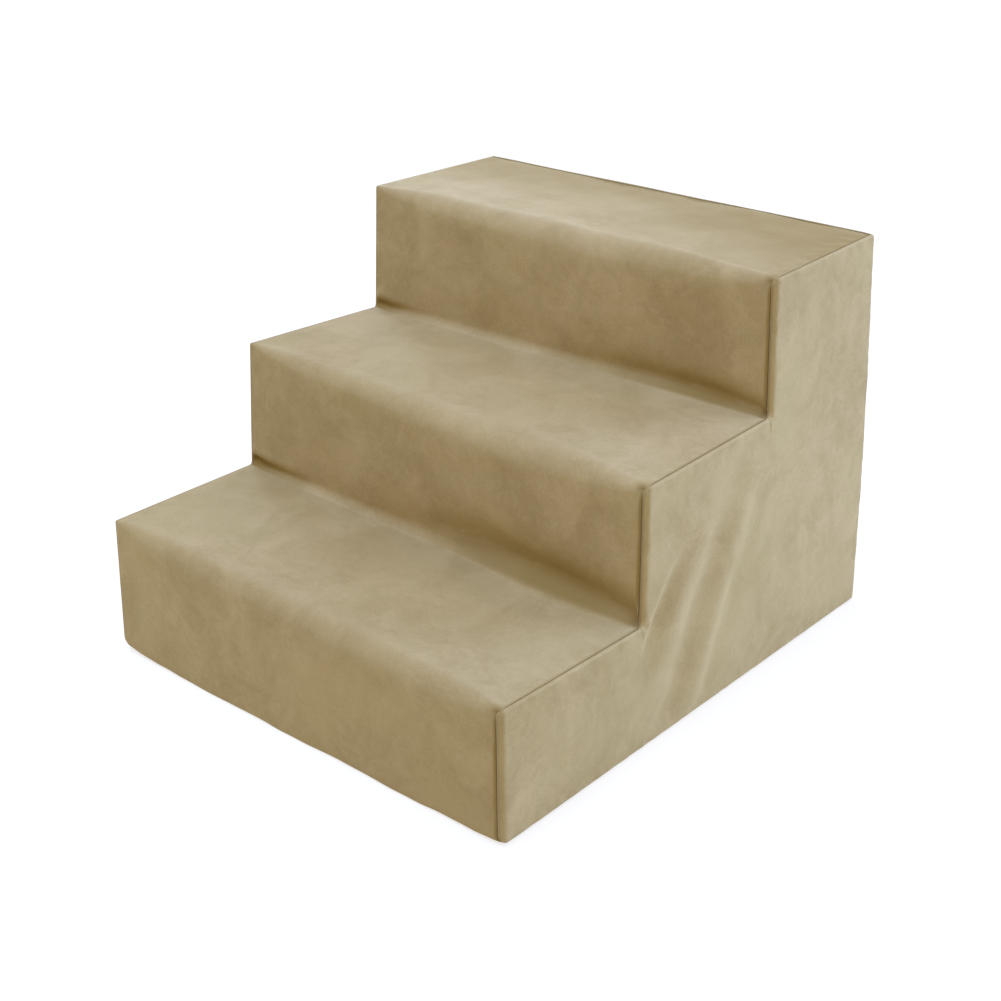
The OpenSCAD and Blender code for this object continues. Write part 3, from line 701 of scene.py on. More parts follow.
def step_rows(cover):
    """The lines across the step panel, from its seam under the toe up to its seam at the back."""
    step = cover.grid_step
    rows = []

    def run(part, k, count, skip=0):
        """Adds the lines of one part of step k, from 0 to 1 along it."""
        rows.extend((part, k, t) for t in np.linspace(0, 1, count + 1)[skip:])

    run("hem_in", 0, 3)
    run("hem_turn", 0, 4, 1)
    run("hem", 0, 2, 1)
    run("toe", 0, 8, 1)
    for k in range(STEPS):
        if k:
            run("corner", k, 8, 1)
            low = [0.02, 0.04, 0.06, 0.08, 0.1, 0.12, 0.14, 0.16, 0.18, 0.2, 0.225, 0.25, 0.28]
            rows.extend(("riser", k, t) for t in low)
            rows.extend(("riser", k, t) for t in np.linspace(0.31, 1, int(RISE * 0.6 / step)))
        else:
            run("riser", k, int(RISE * 0.78 / step), 1)
        run("nosing", k, 11, 1)
        run("tread", k, int(TREAD * 0.87 / step), 1)
    run("back_turn", STEPS - 1, 4, 1)
    run("back_in", STEPS - 1, 3, 1)
    return rows


def bend(y, z, r, degrees, one, share):
    """One line round a bend: its places, its normals and the share of the risers' roll."""
    a = math.radians(degrees)
    out, up = math.cos(a), math.sin(a)
    return (y + r * out) * one, (z + r * up) * one, out * one, up * one, share


def step_line(cover, part, k, t, x):
    """One line across the step panel: y, z, the normal's y and z, and the share of the risers' roll."""
    rn, rt = nosing_radius(cover, k, x), toe_radius(cover, x)
    ahead, over, bag = loose_cloth(cover, k, x) if k else (0, 0, 0)
    turn = cover.turn_radius
    level, face = (k + 1) * RISE, FRONT + k * TREAD
    one = np.ones_like(x)
    if part == "hem_in":
        return HEM_SEAM * one, (cover.allowance + (HEM + turn - cover.allowance) * t) * one, one, 0 * one, 0.0
    if part == "hem_turn":
        return bend(HEM_SEAM - turn, HEM + turn, turn, 360 - 90 * t, one, 0.0)
    if part == "hem":
        start = HEM_SEAM - turn
        return (start + (FRONT + rt - start) * t) * one, HEM * one, 0 * one, -one, 0.0
    if part == "toe":
        return bend(FRONT + rt, HEM + rt, rt, 270 - 90 * t, one, bend_share(90 - 90 * t))
    if part == "riser":
        low = HEM + rt if k == 0 else k * RISE + over
        return face * one, low + (level - rn - low) * t, -one, 0 * one, 1.0
    if part == "nosing":
        return bend(face + rn, level - rn, rn, 180 - 90 * t, one, bend_share(90 * t))
    if part == "tread":
        end = face + TREAD - loose_cloth(cover, k + 1, x)[0] if k + 1 < STEPS else TOP_SEAM - turn
        return face + rn + (end - face - rn) * t, level * one, 0 * one, one, 0.0
    if part == "corner":
        a = math.radians(270 + 90 * t)
        ny, nz = -math.cos(a) * over, -math.sin(a) * ahead
        length, out = np.hypot(ny, nz), bag * math.sin(math.pi * t)
        ny, nz = ny / length, nz / length
        y, z = face - ahead * (1 - math.cos(a)), k * RISE + over * (1 + math.sin(a))
        return y + ny * out, z + nz * out, ny, nz, t
    if part == "back_turn":
        return bend(TOP_SEAM - turn, TOP - turn, turn, 90 - 90 * t, one, 0.0)
    return TOP_SEAM * one, (TOP - turn + (turn - cover.allowance) * t) * one, one, 0 * one, 0.0


def share_at(cover, roll, shares):
    """The share at a seam with this roll, out of those at the left, at the treads and at the risers."""
    return np.interp(roll, (cover.left_roll, cover.edge_roll, cover.riser_roll), shares)


def lip_depth(cover, edge, roll):
    """How deep the cloth lies at a distance from a seam: drawn in, and turned over a small lip."""
    share = share_at(cover, roll, LIP_SHARES)
    lip, reach = cover.lip * share, 0.0035
    inside = np.clip(lip - edge, 0, lip)
    return lip - np.sqrt(lip**2 - inside**2) + share * cover.seam_dip * np.exp(-((edge / reach) ** 2))


def painted_seam_shade(cover, edge, roll, broad=0.0024):
    """How much painted shade the cloth gets at a distance from a seam, standing in for the shade of the
    seam's groove.
    """
    share = share_at(cover, roll, SHADE_SHARES)
    least, strength = 0.0008, 1.6
    return share * np.clip(strength * (1 - edge / (least + broad * share)), 0, 1)


def pinch(points):
    """How strongly the cloth is pinched near the right ends of the nosings and inner corners."""
    total, inset = 0, 0.006
    for k in range(STEPS):
        for y, z, size in (
            (FRONT + k * TREAD + 0.0012, (k + 1) * RISE - 0.0028, 0.0046),
            (FRONT + k * TREAD, k * RISE + 0.002, 0.0032),
        ):
            if z > 0.01:
                gap = (points[..., 1] - y) ** 2 + (points[..., 2] - z) ** 2
                total = total + np.exp(-(gap + (points[..., 0] - HALF_W + inset) ** 2) / size**2)
    return np.clip(total, 0, 1)


def panel_across(cover, step):
    """Places across a panel between the side panels, how deep each lies, and its distance from a seam."""
    left, right = HALF_W - cover.left_roll - LEFT_GAP, HALF_W - cover.edge_roll - cover.seam_gap
    middle = spread(-left + BESIDE_SEAM[-1], right - BESIDE_SEAM[-1], step)
    across = lines(-left + BESIDE_SEAM, middle, right - BESIDE_SEAM)
    turned = np.concatenate([TURNED_IN, np.zeros(len(across)), TURNED_IN[::-1]])
    ends = np.ones(len(TURNED_IN))
    across = np.concatenate([-left * ends, across, right * ends])
    return across, turned, np.where(across > 0, right - across, left + across)


class PETSTAIRS_OT_step_panel(bpy.types.Operator):
    """Lay the one strip of cloth over the risers, the nosings and the treads"""

    bl_idname = "pet_stairs.step_panel"
    bl_label = "Step panel"
    bl_options = {"REGISTER", "UNDO"}

    def execute(self, context):
        cover = context.scene.stair_cover
        broad, small = ripples(11, 0.095), ripples(12, 0.03)
        puckers = ripples(13, 0.011)
        across, turned, edge = panel_across(cover, cover.grid_step)
        left, right = -across[0], across[-1]
        rows = step_rows(cover)
        points = np.zeros((len(rows), len(across), 3))
        worn = np.zeros((len(rows), len(across)))
        seam = np.zeros_like(worn)
        quiet, calm = steady(0, WAVES_FROM, edge), steady(0, PUCKERS_FROM, edge)
        roll_from = 0.13
        for i, (part, k, t) in enumerate(rows):
            y, z, ny, nz, share = step_line(cover, part, k, t, across)
            more = (cover.riser_roll - cover.edge_roll) * share
            x = across - steady(roll_from, right, across) * more
            roll = np.where(across > 0, cover.edge_roll + more, cover.left_roll)
            base = np.stack([x, y, z], axis=-1)
            lips = lip_depth(cover, edge, roll)
            pinched = pinch(base)
            waves = cover.wave_height * (broad(base) + SMALL_WAVES * small(base)) * quiet
            lift = waves - lips - STEP_PINCH * pinched
            lift += cover.pucker_height * puckers(base) * np.exp(-edge / PUCKER_REACH) * calm
            shade = 0 * x
            if part in ("riser", "corner") and k:
                push, shade = creases(k, x, z - k * RISE)
                lift += push * calm
                shade = shade * (steady(0, 0.35, t) if part == "corner" else 1)
            # The treads are made darker towards the back, and the top one towards the right too
            if part in ("tread", "back_turn"):
                shade = brushed(k, t if part == "tread" else 1, x)
            shallow = 0.3 if part in ("hem_in", "hem_turn", "back_turn", "back_in") else 1
            lift = np.where(turned > 0, -np.maximum(turned, lips), lift) * shallow
            points[i] = base
            points[i, :, 1] += ny * lift
            points[i, :, 2] += nz * lift
            rubbed = {"nosing": 1.0, "riser": steady(0.9, 1, t), "tread": 1 - steady(0, 0.1, t)}
            worn[i] = rubbed.get(part, 0) * (0.7 + 0.3 * small(base)) * quiet
            # Painted shade: full on the cloth turned into the hem and back seams, and growing round the turns
            # towards them
            deep = {"back_in": 1.0, "back_turn": t**2, "hem_in": 1.0, "hem_turn": (1 - t) ** 2}.get(part, 0.0)
            # Painted shade of the seam's groove, the pinched corners and the creases
            dark = np.maximum(painted_seam_shade(cover, edge, roll), np.maximum(pinched, shade))
            seam[i] = np.maximum(np.where(turned > 0, 1.0, dark), deep)
        long = STEPS * (RISE + TREAD) - 0.03
        marks = {"worn": np.clip(worn, 0, 1), "seam": seam}
        piece = cut_cloth("step_cover", settle(points), (left + right, long), marks)
        thicken(piece, cover.cloth_thickness)
        dress(piece, microsuede(cover), "microsuede", "stairs", "step_panel")
        return {"FINISHED"}


def corner_at_seam(cover, side):
    """The radius at a side's seam where a tread meets the next riser."""
    return cover.right_corner if side > 0 else cover.left_corner


def step_at(share):
    """The number of a step, kept within the stairs."""
    return max(0, min(STEPS - 1, int(share)))


def side_spot(cover, side, y, z):
    """Where a place of a side panel's grid lies: y, z, outward normal, distance in and roll."""
    snap, nearest = 1e-4, 1e-7
    riser, edge = rolls(cover, side)
    nose, toe = cover.right_nosing if side > 0 else cover.left_nosing, float(toe_radius(cover, side * HALF_W))
    inner, back = corner_at_seam(cover, side), cover.edge_roll
    ahead = y - FRONT - TREAD * step_at(math.ceil(z / RISE - snap) - 1)
    k = step_at(math.floor((y - FRONT) / TREAD + snap))
    above = RISE * (1 + k) - z
    behind, up = BACK - y, z - HEM
    dy, dz = y - FRONT - k * TREAD, k * RISE - z
    gaps = [max(g, nearest) for g in (ahead, above, behind, up)]
    weights = [g**-3 for g in gaps]
    d = sum(weights) ** (-1 / 3)
    ny, nz = weights[2] - weights[0], weights[1] - weights[3]
    length = max(math.hypot(ny, nz), 1e-30)
    ny, nz = ny / length, nz / length
    share = min(
        float(steady(*ROLL_CHANGE, (other + r / 2) / (ahead + other + r)))
        for other, r in ((above, nose), (up, toe), (behind, edge))
    )

    def rounded(cy, cz, sy, sz, r):
        """The place moved onto a rounded corner with this middle, way out and radius."""
        u, v = abs(y - cy) / r, abs(z - cz) / r
        a = math.atan2(v, u)
        rho = r * max(u, v)
        c, s = math.cos(a), math.sin(a)
        return cy + sy * rho * c, cz + sz * rho * s, sy * c, sz * s, d, edge + (riser - edge) * share

    for m in range(1, STEPS):
        ey, ez = y - FRONT - m * TREAD, m * RISE - z
        reach = max(abs(ey), abs(ez))
        if reach < inner and max(ey, ez) >= -TINY:
            angle = math.degrees(math.atan2(ey, ez)) if reach > TINY else 45
            share = min(max(angle / 90, 0), 1) if ez > -TINY or ey > TINY else 0.5
            share = 0.5 + (share - 0.5) * reach / inner
            d = max(ey, ez, 0)
            if reach < TINY:
                away = (-math.sqrt(0.5), math.sqrt(0.5))
            elif ey <= 0:
                away = (0.0, 1.0)
            elif ez <= 0:
                away = (-1.0, 0.0)
            else:
                away = (-ey / math.hypot(ey, ez), ez / math.hypot(ey, ez))
            return y, z, *away, d, edge + (riser - edge) * share
    if k > 0 and dz >= -TINY and max(dy, dz) < riser:
        d = max(dy, dz)
        length = math.hypot(dy, dz)
        share = math.atan2(dy, dz) / (math.pi / 2)
        return y, z, -dy / length, dz / length, d, edge + (riser - edge) * share
    if ahead < nose and above < nose:
        return rounded(y - ahead + nose, z + above - nose, -1, 1, nose)
    if ahead < toe and up < toe:
        return rounded(FRONT + toe, HEM + toe, -1, -1, toe)
    if behind < back and above < back:
        return rounded(BACK - back, TOP - back, 1, 1, back)
    if behind < back and up < back:
        return rounded(BACK - back, HEM + back, 1, -1, back)
    return y, z, ny, nz, d, edge + (riser - edge) * share


def bridge_shift(rc, y, z):
    """The shift that rounds off the corner below riser k, for places near it, and the normal there."""
    for k in range(1, STEPS):
        dy, dz = y - FRONT - k * TREAD, z - k * RISE
        if dy < -rc or dz > rc or dy > 3 * rc or dz < -3 * rc or (dy < 0 < dz):
            continue
        if dy >= 0 and dz <= 0:
            angle, depth = 45.0, max(dy, -dz)
            t = (0.0, 0.0)
        elif dy < 0:
            angle, depth = 45 * (1 + dy / rc), -dz
            t = (dy, 0.0)
        else:
            angle, depth = 90 - 45 * (1 - dz / rc), dy
            t = (0.0, dz)
        a = math.radians(angle)
        fade = float(1 - steady(0, 3 * rc, depth))
        return (-rc + rc * math.sin(a) - t[0]) * fade, (rc - rc * math.cos(a) - t[1]) * fade, a, fade
    return 0.0, 0.0, 0.0, 0.0


def fold_height(y, z):
    """How far the right side panel stands out or in, in metres, at places of its side view."""
    high = z / MM
    total = np.zeros_like(y)
    for place, slant, height, before, behind, strength in FOLDS:
        levels, shares = zip(*strength)
        gap = y / MM - slant * high - place
        shape = np.exp(-((gap / np.where(gap < 0, before, behind)) ** 2))
        total += height * shape * np.interp(high, levels, shares)
    return total * MM


def side_lines(cover, rc):
    """The lines of a side panel's grid, along y and along z."""
    step = cover.grid_step
    far = np.array([0, 0.25, 0.7, 1.3, 2.1, 3.1, 4.3, 5.6, 7.0]) * MM
    near = np.array([0, 0.12, 0.35, 0.65, 1.05, 1.55, 2.1, 2.8, 3.5, 5.0]) * MM
    along = []
    for k in range(STEPS):
        face = FRONT + k * TREAD
        end = BACK - near[-1] if k + 1 == STEPS else face + TREAD - rc
        along += [face + far, spread(face + far[-1], end, step)]
        if k + 1 < STEPS:
            along.append(spread(end, face + TREAD, 0.9 * MM))
    along.append(BACK - near)
    up = [HEM + near]
    for k in range(STEPS):
        start = HEM + near[-1] if k == 0 else k * RISE + rc
        up += [spread(start, (k + 1) * RISE - near[-1], step), (k + 1) * RISE - near]
        if k + 1 < STEPS:
            up.append(spread((k + 1) * RISE, (k + 1) * RISE + rc, 0.9 * MM))
    return lines(*along), lines(*up)


class PETSTAIRS_OT_side_panels(bpy.types.Operator):
    """Lay the two stair-shaped side panels, rolled over the edges into their seams"""

    bl_idname = "pet_stairs.side_panels"
    bl_label = "Side panels"
    bl_options = {"REGISTER", "UNDO"}

    def execute(self, context):
        cover = context.scene.stair_cover
        for name, side, node in (
            ("right_side_cover", 1, "right_side_panel"), ("left_side_cover", -1, "left_side_panel")
        ):
            piece = self.panel(cover, name, side)
            dress(piece, microsuede(cover), "microsuede", "stairs", node)
        return {"FINISHED"}

    def panel(self, cover, name, side):
        """Lays and thickens one side panel; side is 1 on the right and -1 on the left."""
        inner = corner_at_seam(cover, side)
        ys, zs = side_lines(cover, inner)
        if side < 0:
            ys = ys[::-1]
        broad, small = ripples(21 + side, 0.1), ripples(31 + side, 0.032)
        puckers = ripples(41 + side, 0.011)
        spots = np.array([[side_spot(cover, side, y, z) for y in ys] for z in zs])
        shifts = np.array([[bridge_shift(inner, y, z) for y in ys] for z in zs])
        y, z, ny, nz, inward, roll = np.moveaxis(spots, -1, 0)
        y, z = y + shifts[..., 0], z + shifts[..., 1]
        angle, fade = shifts[..., 2], shifts[..., 3]
        ny, nz = ny + (-np.sin(angle) - ny) * fade, nz + (np.cos(angle) - nz) * fade
        length = np.hypot(ny, nz)
        ny, nz = ny / length, nz / length
        rolled = np.clip(1 - inward / roll, 0, 1)
        over = roll * (1 - np.sqrt(1 - rolled**2))
        flat = np.stack([np.full_like(y, side * HALF_W), y, z], axis=-1)
        quiet, calm = steady(0, WAVES_FROM, inward), steady(0, PUCKERS_FROM, inward)
        lift = cover.wave_height * (broad(flat) + SMALL_WAVES * small(flat)) * quiet
        near = np.exp(-inward / SIDE_PUCKER_REACH)
        lift += cover.pucker_height * SIDE_PUCKERS * puckers(flat) * near * calm
        pinched = pinch(flat) if side > 0 else 0 * inward
        lift -= SIDE_PINCH * pinched
        if side > 0:
            folds_from, folds_to = 0.001, 0.014
            lift += cover.fold_scale * fold_height(y, z) * steady(folds_from, folds_to, inward)
        edge = roll * (math.pi / 2 - np.arcsin(rolled)) + np.clip(inward - roll, 0, None)
        dip = lip_depth(cover, edge, roll)
        x = HALF_W - over + lift
        points = np.stack([side * x, y - ny * dip * rolled**2, z - nz * dip * rolled**2], axis=-1)
        # Painted shade of the seam's groove and of the pinched corners
        seam = np.maximum(painted_seam_shade(cover, edge, roll, 0.0014), 0.8 * pinched)
        rubbed = np.exp(-(((rolled - 0.55) / 0.35) ** 2)) * (inward < roll)
        cy, cz = (ys[1:] + ys[:-1]) / 2, (zs[1:] + zs[:-1]) / 2
        level = np.clip(np.floor(cz / RISE), 0, STEPS - 1)
        keep = cy[None, :] > FRONT + level[:, None] * TREAD
        size = (BACK - FRONT, TOP)
        marks = {"worn": rubbed, "seam": seam, "out_y": ny, "out_z": nz}
        piece = cut_cloth(name, points, size, marks, keep)
        self.turn_in(piece)
        move_points(piece, settle(places_of(piece)))
        thicken(piece, cover.cloth_thickness)
        return piece

    def turn_in(self, piece):
        """Turns the panel's rim in, to make the seam allowance."""
        work = bmesh.new()
        work.from_mesh(piece.data)
        floats = work.verts.layers.float
        turns = (1.6 * MM, 1.2 * MM, 1.2 * MM)
        for step in turns:
            rim = [e for e in work.edges if len(e.link_faces) == 1]
            grown = bmesh.ops.extrude_edge_only(work, edges=rim)["geom"]
            for vert in grown:
                if isinstance(vert, bmesh.types.BMVert):
                    # The turned-in rim gets full painted shade
                    vert[floats["seam"]] = 1.0
                    vert.co.y -= vert[floats["out_y"]] * step
                    vert.co.z -= vert[floats["out_z"]] * step
        work.to_mesh(piece.data)
        work.free()
        for key in ("out_y", "out_z"):
            piece.data.attributes.remove(piece.data.attributes[key])


def lay_panel(cover, name, node, path, seed, flip=False, settled=True):
    """Lays and dresses a panel along a path, whose rows are y, z, the outward normal's y and z, and ease."""
    across, turned, edge = panel_across(cover, COARSE_STEP)
    if flip:
        across, turned, edge = across[::-1], turned[::-1], edge[::-1]
    broad, small, puckers = ripples(seed, 0.11), ripples(seed + 1, 0.035), ripples(seed + 2, 0.012)
    points = np.zeros((len(path), len(across), 3))
    seam = np.zeros(points.shape[:2])
    roll = np.where(across > 0, cover.edge_roll, cover.left_roll)
    lips = lip_depth(cover, edge, roll)
    quiet, calm, height = steady(0, WAVES_FROM, edge), steady(0, PUCKERS_FROM, edge), cover.wave_height * 0.8
    for i, (y, z, ny, nz, ease) in enumerate(path):
        base = np.stack([across, np.full_like(across, y), np.full_like(across, z)], axis=-1)
        lift = height * (broad(base) + SMALL_WAVES * small(base)) * quiet * ease
        lift += cover.pucker_height * puckers(base) * np.exp(-edge / PUCKER_REACH) * calm * ease
        lift = np.where(turned > 0, -np.maximum(turned, lips), lift - lips)
        lift *= 1 if ease else 0.1
        points[i] = base
        points[i, :, 1] += ny * lift
        points[i, :, 2] += nz * lift
        # Turned-in cloth gets full painted shade, and the rest gets the painted shade beside the seam
        seam[i] = np.where(turned > 0, 1.0, painted_seam_shade(cover, edge, roll))
    long = sum(math.dist(a[:2], b[:2]) for a, b in zip(path, path[1:]))
    if settled:
        points = settle(points)
    piece = cut_cloth(name, points, (across.max() - across.min(), long), {"worn": 0 * seam, "seam": seam})
    thicken(piece, cover.cloth_thickness)
    dress(piece, microsuede(cover), "microsuede", "stairs", node)


def arc(cy, cz, r, start, end, count, calm=0.3):
    """Rows of a path round a bend."""
    angles = [math.radians(start + (end - start) * i / count) for i in range(count + 1)]
    return [(cy + r * math.cos(a), cz + r * math.sin(a), math.cos(a), math.sin(a), calm) for a in angles]


class PETSTAIRS_OT_back_panels(bpy.types.Operator):
    """Lay the two panels of the back, whose edges are folded in beside the zipper"""

    bl_idname = "pet_stairs.back_panels"
    bl_label = "Back panels"
    bl_options = {"REGISTER", "UNDO"}

    def execute(self, context):
        cover = context.scene.stair_cover
        r, fold, behind = cover.edge_roll, 0.0011, 0.0085
        z0, z1 = ZIP_UPPER, ZIP_LOWER
        upper = [(BACK - 2 * fold, z, -1, 0, 0) for z in np.linspace(z0 + behind, z0 + fold, 4)]
        upper += arc(BACK - fold, z0 + fold, fold, 180, 360, 6, 0)[1:]
        heights = spread(z0 + fold, TOP - r, COARSE_STEP)[1:]
        upper += [(BACK, z, 1, 0, steady(z0, z0 + 0.02, z)) for z in heights]
        upper += arc(BACK - r, TOP - r, r, 0, 90, 6)[1:]
        upper += arc(BACK - r, TOP - r, r, 90, 180, 3, 0)[1:2]
        seam, tucked = BACK - r, (1.2, 2.6, 4.6, 7)
        upper = upper[:-1] + [(seam, TOP - d * MM, -1, 0, 0) for d in tucked]
        lay_panel(cover, "back_upper_cover", "back_upper_panel", upper, 51, flip=True)
        lower = [(seam, HEM + d * MM, -1, 0, 0) for d in tucked[::-1]]
        lower += arc(BACK - r, HEM + r, r, 270, 360, 6)
        lower += [(BACK, z, 1, 0, 0.4) for z in spread(HEM + r, z1 - fold, 0.0035)[1:]]
        lower += arc(BACK - fold, z1 - fold, fold, 0, 180, 6, 0)[1:]
        lower += [(BACK - 2 * fold, z, -1, 0, 0) for z in np.linspace(z1 - fold, z1 - behind, 4)[1:]]
        lay_panel(cover, "back_lower_cover", "back_lower_panel", lower, 61, flip=True)
        return {"FINISHED"}


class PETSTAIRS_OT_bottom_panel(bpy.types.Operator):
    """Lay the flat panel that the stairs rest on"""

    bl_idname = "pet_stairs.bottom_panel"
    bl_label = "Bottom panel"
    bl_options = {"REGISTER", "UNDO"}

    def execute(self, context):
        cover = context.scene.stair_cover
        lo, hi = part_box("bottom_panel")
        r, tucked, step = 0.0016, (0.007, 0.0045, 0.0026), 0.0048
        path = [(hi.y, z, 1, 0, 0) for z in tucked]
        path += arc(hi.y - r, r, r, 360, 270, 5, 0)
        path += [(y, 0.0, 0, -1, 0) for y in -spread(-hi.y + r, -lo.y - r, step)[1:]]
        path += arc(lo.y + r, r, r, 270, 180, 5, 0)[1:]
        path += [(lo.y, z, -1, 0, 0) for z in tucked[::-1]]
        lay_panel(cover, "bottom_cover", "bottom_panel", path, 71, settled=False)
        return {"FINISHED"}


def thread_tube(name, places, closed, radius):
    """A round thread through these places."""
    deselect()
    curve = bpy.data.curves.new(name, "CURVE")
    curve.dimensions = "3D"
    spline = curve.splines.new("POLY")
    spline.points.add(len(places) - 1)
    for point, place in zip(spline.points, places):
        point.co = (*place, 1.0)
    spline.use_cyclic_u = closed
    curve.bevel_depth = radius
    curve.bevel_resolution = 1
    curve.use_fill_caps = not closed
    piece = bpy.data.objects.new(name, curve)
    bpy.context.scene.collection.objects.link(piece)
    pick(piece)
    bpy.ops.object.convert(target="MESH")
    piece = just_made(name)
    smooth(piece)
    return piece


class PETSTAIRS_OT_seam_threads(bpy.types.Operator):
    """Run the sewing threads along the insides of the seams"""

    bl_idname = "pet_stairs.seam_threads"
    bl_label = "Seam threads"
    bl_options = {"REGISTER", "UNDO"}

    def execute(self, context):
        cover = context.scene.stair_cover
        radius, depth = 0.0003, 0.0033
        inside = -cover.cloth_thickness - radius - 0.0002
        rows = [r for r in step_rows(cover) if r[0] in ("toe", "riser", "nosing", "tread", "corner")]
        for side, name, node in (
            (1, "right_side_stitching", "right_seam_thread"), (-1, "left_side_stitching", "left_seam_thread")
        ):
            places = []
            riser, r = rolls(cover, side)
            end = np.array([side * (HALF_W - r)])
            for part, k, t in rows[::2]:
                y, z, ny, nz, share = step_line(cover, part, k, t, end)
                x = side * (HALF_W - r - (riser - r) * share + inside)
                places.append((x, y[0] - ny[0] * depth, z[0] - nz[0] * depth))
            x = side * (HALF_W - r + inside)
            places = [p for p in places if p[1] < BACK - r - depth]
            places += [(x, BACK - depth, z) for z in np.linspace(TOP - depth, HEM + depth, 60)]
            places += [(x, y, HEM + depth) for y in np.linspace(BACK - depth - 0.004, FRONT + 0.016, 60)]
            piece = thread_tube(name, settle(np.array(places)), closed=True, radius=radius)
            dress(piece, twisted_thread(cover), "sewing_thread", "stairs", node)
        for name, node in (
            ("top_back_stitching", "top_back_seam_thread"),
            ("bottom_front_stitching", "bottom_front_seam_thread"),
            ("bottom_back_stitching", "bottom_back_seam_thread"),
        ):
            lo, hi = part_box(node)
            middle = (lo + hi) / 2
            places = np.array([(x, middle.y, middle.z) for x in np.linspace(lo.x, hi.x, 90)])
            if middle.z > RISE:
                places = settle(places)
            piece = thread_tube(name, places, closed=False, radius=radius)
            dress(piece, twisted_thread(cover), "sewing_thread", "stairs", node)
        return {"FINISHED"}


def copy_of(node, name):
    """A copy of a CAD node as a new piece, with its loose triangles joined up."""
    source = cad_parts[node]
    deselect()
    piece = bpy.data.objects.new(name, source.data.copy())
    piece.data.name = name
    bpy.context.scene.collection.objects.link(piece)
    pick(piece)
    bpy.ops.object.mode_set(mode="EDIT")
    bpy.ops.mesh.select_all(action="SELECT")
    bpy.ops.mesh.remove_doubles(threshold=0.00001)
    bpy.ops.mesh.dissolve_limited(angle_limit=math.radians(1))
    bpy.ops.mesh.normals_make_consistent(inside=False)
    bpy.ops.object.mode_set(mode="OBJECT")
    return piece


class PETSTAIRS_OT_foam_blocks(bpy.types.Operator):
    """Cut the three foam blocks that are glued on each other, and press them into the cover"""

    bl_idname = "pet_stairs.foam_blocks"
    bl_label = "Foam blocks"
    bl_options = {"REGISTER", "UNDO"}

    def execute(self, context):
        cover = context.scene.stair_cover
        names = (
            "step_cover", "right_side_cover", "left_side_cover", "back_upper_cover", "back_lower_cover",
            "bottom_cover",
        )
        ready = context.evaluated_depsgraph_get()
        cloths = [BVHTree.FromObject(bpy.data.objects[name], ready) for name in names]
        for name, node in (
            ("foam_core_base", "foam_base_block"),
            ("foam_core_middle", "foam_middle_block"),
            ("foam_core_top", "foam_top_block"),
        ):
            piece = copy_of(node, name)
            finish_with(piece, "BEVEL", width=0.0012, segments=2, limit_method="ANGLE")
            self.press(piece, cloths)
            smooth(piece, 35)
            dress(piece, foam_cells(cover), "foam", "stairs", node)
        return {"FINISHED"}

    def press(self, piece, cloths):
        """Cuts a block into cells, lets it settle and presses it in wherever it would meet the cloth."""
        work = bmesh.new()
        work.from_mesh(piece.data)
        lo, hi = (Vector(f(v.co[i] for v in work.verts) for i in range(3)) for f in (min, max))
        cell = 0.011
        for axis in range(3):
            for place in spread(lo[axis], hi[axis], cell)[1:-1]:
                spot, way = Vector(), Vector()
                spot[axis], way[axis] = place, 1
                geom = work.verts[:] + work.edges[:] + work.faces[:]
                bmesh.ops.bisect_plane(work, geom=geom, plane_co=spot, plane_no=way, dist=1e-6)
        places = settle(np.array([v.co for v in work.verts]))
        for vert, place in zip(work.verts, places):
            vert.co = place
        work.normal_update()
        reach, room, around = 0.014, 0.0006, 0.005
        fresh = {}
        for vert in work.verts:
            aside = vert.normal.orthogonal().normalized() * around
            ways = [Vector()] + [Matrix.Rotation(math.pi / 2 * i, 3, vert.normal) @ aside for i in range(4)]
            starts = [vert.co - vert.normal * reach + way for way in ways]
            rays = [(cloth, start) for start in starts for cloth in cloths]
            hits = [cloth.ray_cast(start, vert.normal, reach + room)[3] for cloth, start in rays]
            nearest = min((h for h in hits if h is not None), default=reach + room)
            fresh[vert] = vert.co + vert.normal * (nearest - reach - room)
        for vert, place in fresh.items():
            vert.co = place
        work.to_mesh(piece.data)
        work.free()


class PETSTAIRS_OT_zipper_tapes(bpy.types.Operator):
    """Weave the two tapes that the chain is sewn to"""

    bl_idname = "pet_stairs.zipper_tapes"
    bl_label = "Zipper tapes"
    bl_options = {"REGISTER", "UNDO"}

    def execute(self, context):
        cover, zipper = context.scene.stair_cover, context.scene.stair_zipper
        wavy = ripples(81, 0.03)
        waviness, end_gap, sunk, closing, shut = 0.00008, 0.0001, 0.0001, 0.0022, 0.97
        left, right = cover.left_roll + end_gap - HALF_W, HALF_W - cover.edge_roll - end_gap
        for name, node in (("upper_tape", "zipper_upper_tape"), ("lower_tape", "zipper_lower_tape")):
            lo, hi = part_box(node)
            middle, tall, thick = (lo.z + hi.z) / 2, hi.z - lo.z, hi.y - lo.y
            deselect()
            bpy.ops.mesh.primitive_grid_add(
                x_subdivisions=320, y_subdivisions=10, size=1, location=((left + right) / 2, hi.y, middle),
                rotation=(math.radians(-90), 0, 0),
            )
            piece = just_made(name)
            piece.scale = (right - left, tall, 1)
            settle_transform(piece)
            place = places_of(piece)
            free = np.clip(abs(place[:, 2] - middle) / (tall / 2), 0, 1)
            place[:, 1] += waviness * wavy(place) * (1 - free) - sunk
            inner = lo.z if middle > ZIP_Z else hi.z
            near = np.clip(1 - abs(place[:, 2] - inner) / (tall / 2), 0, 1)
            end = np.where(place[:, 0] > 0, CHAIN_END, STOP_END)
            closed = steady(0, closing, abs(place[:, 0]) - end)
            place[:, 2] += (ZIP_Z - inner) * shut * near * closed
            move_points(piece, place)
            finish_with(piece, "SOLIDIFY", thickness=thick * 0.8, offset=-1)
            smooth(piece, 40)
            dress(piece, woven_tape(zipper), "zipper_tape", "stairs", node)
        return {"FINISHED"}


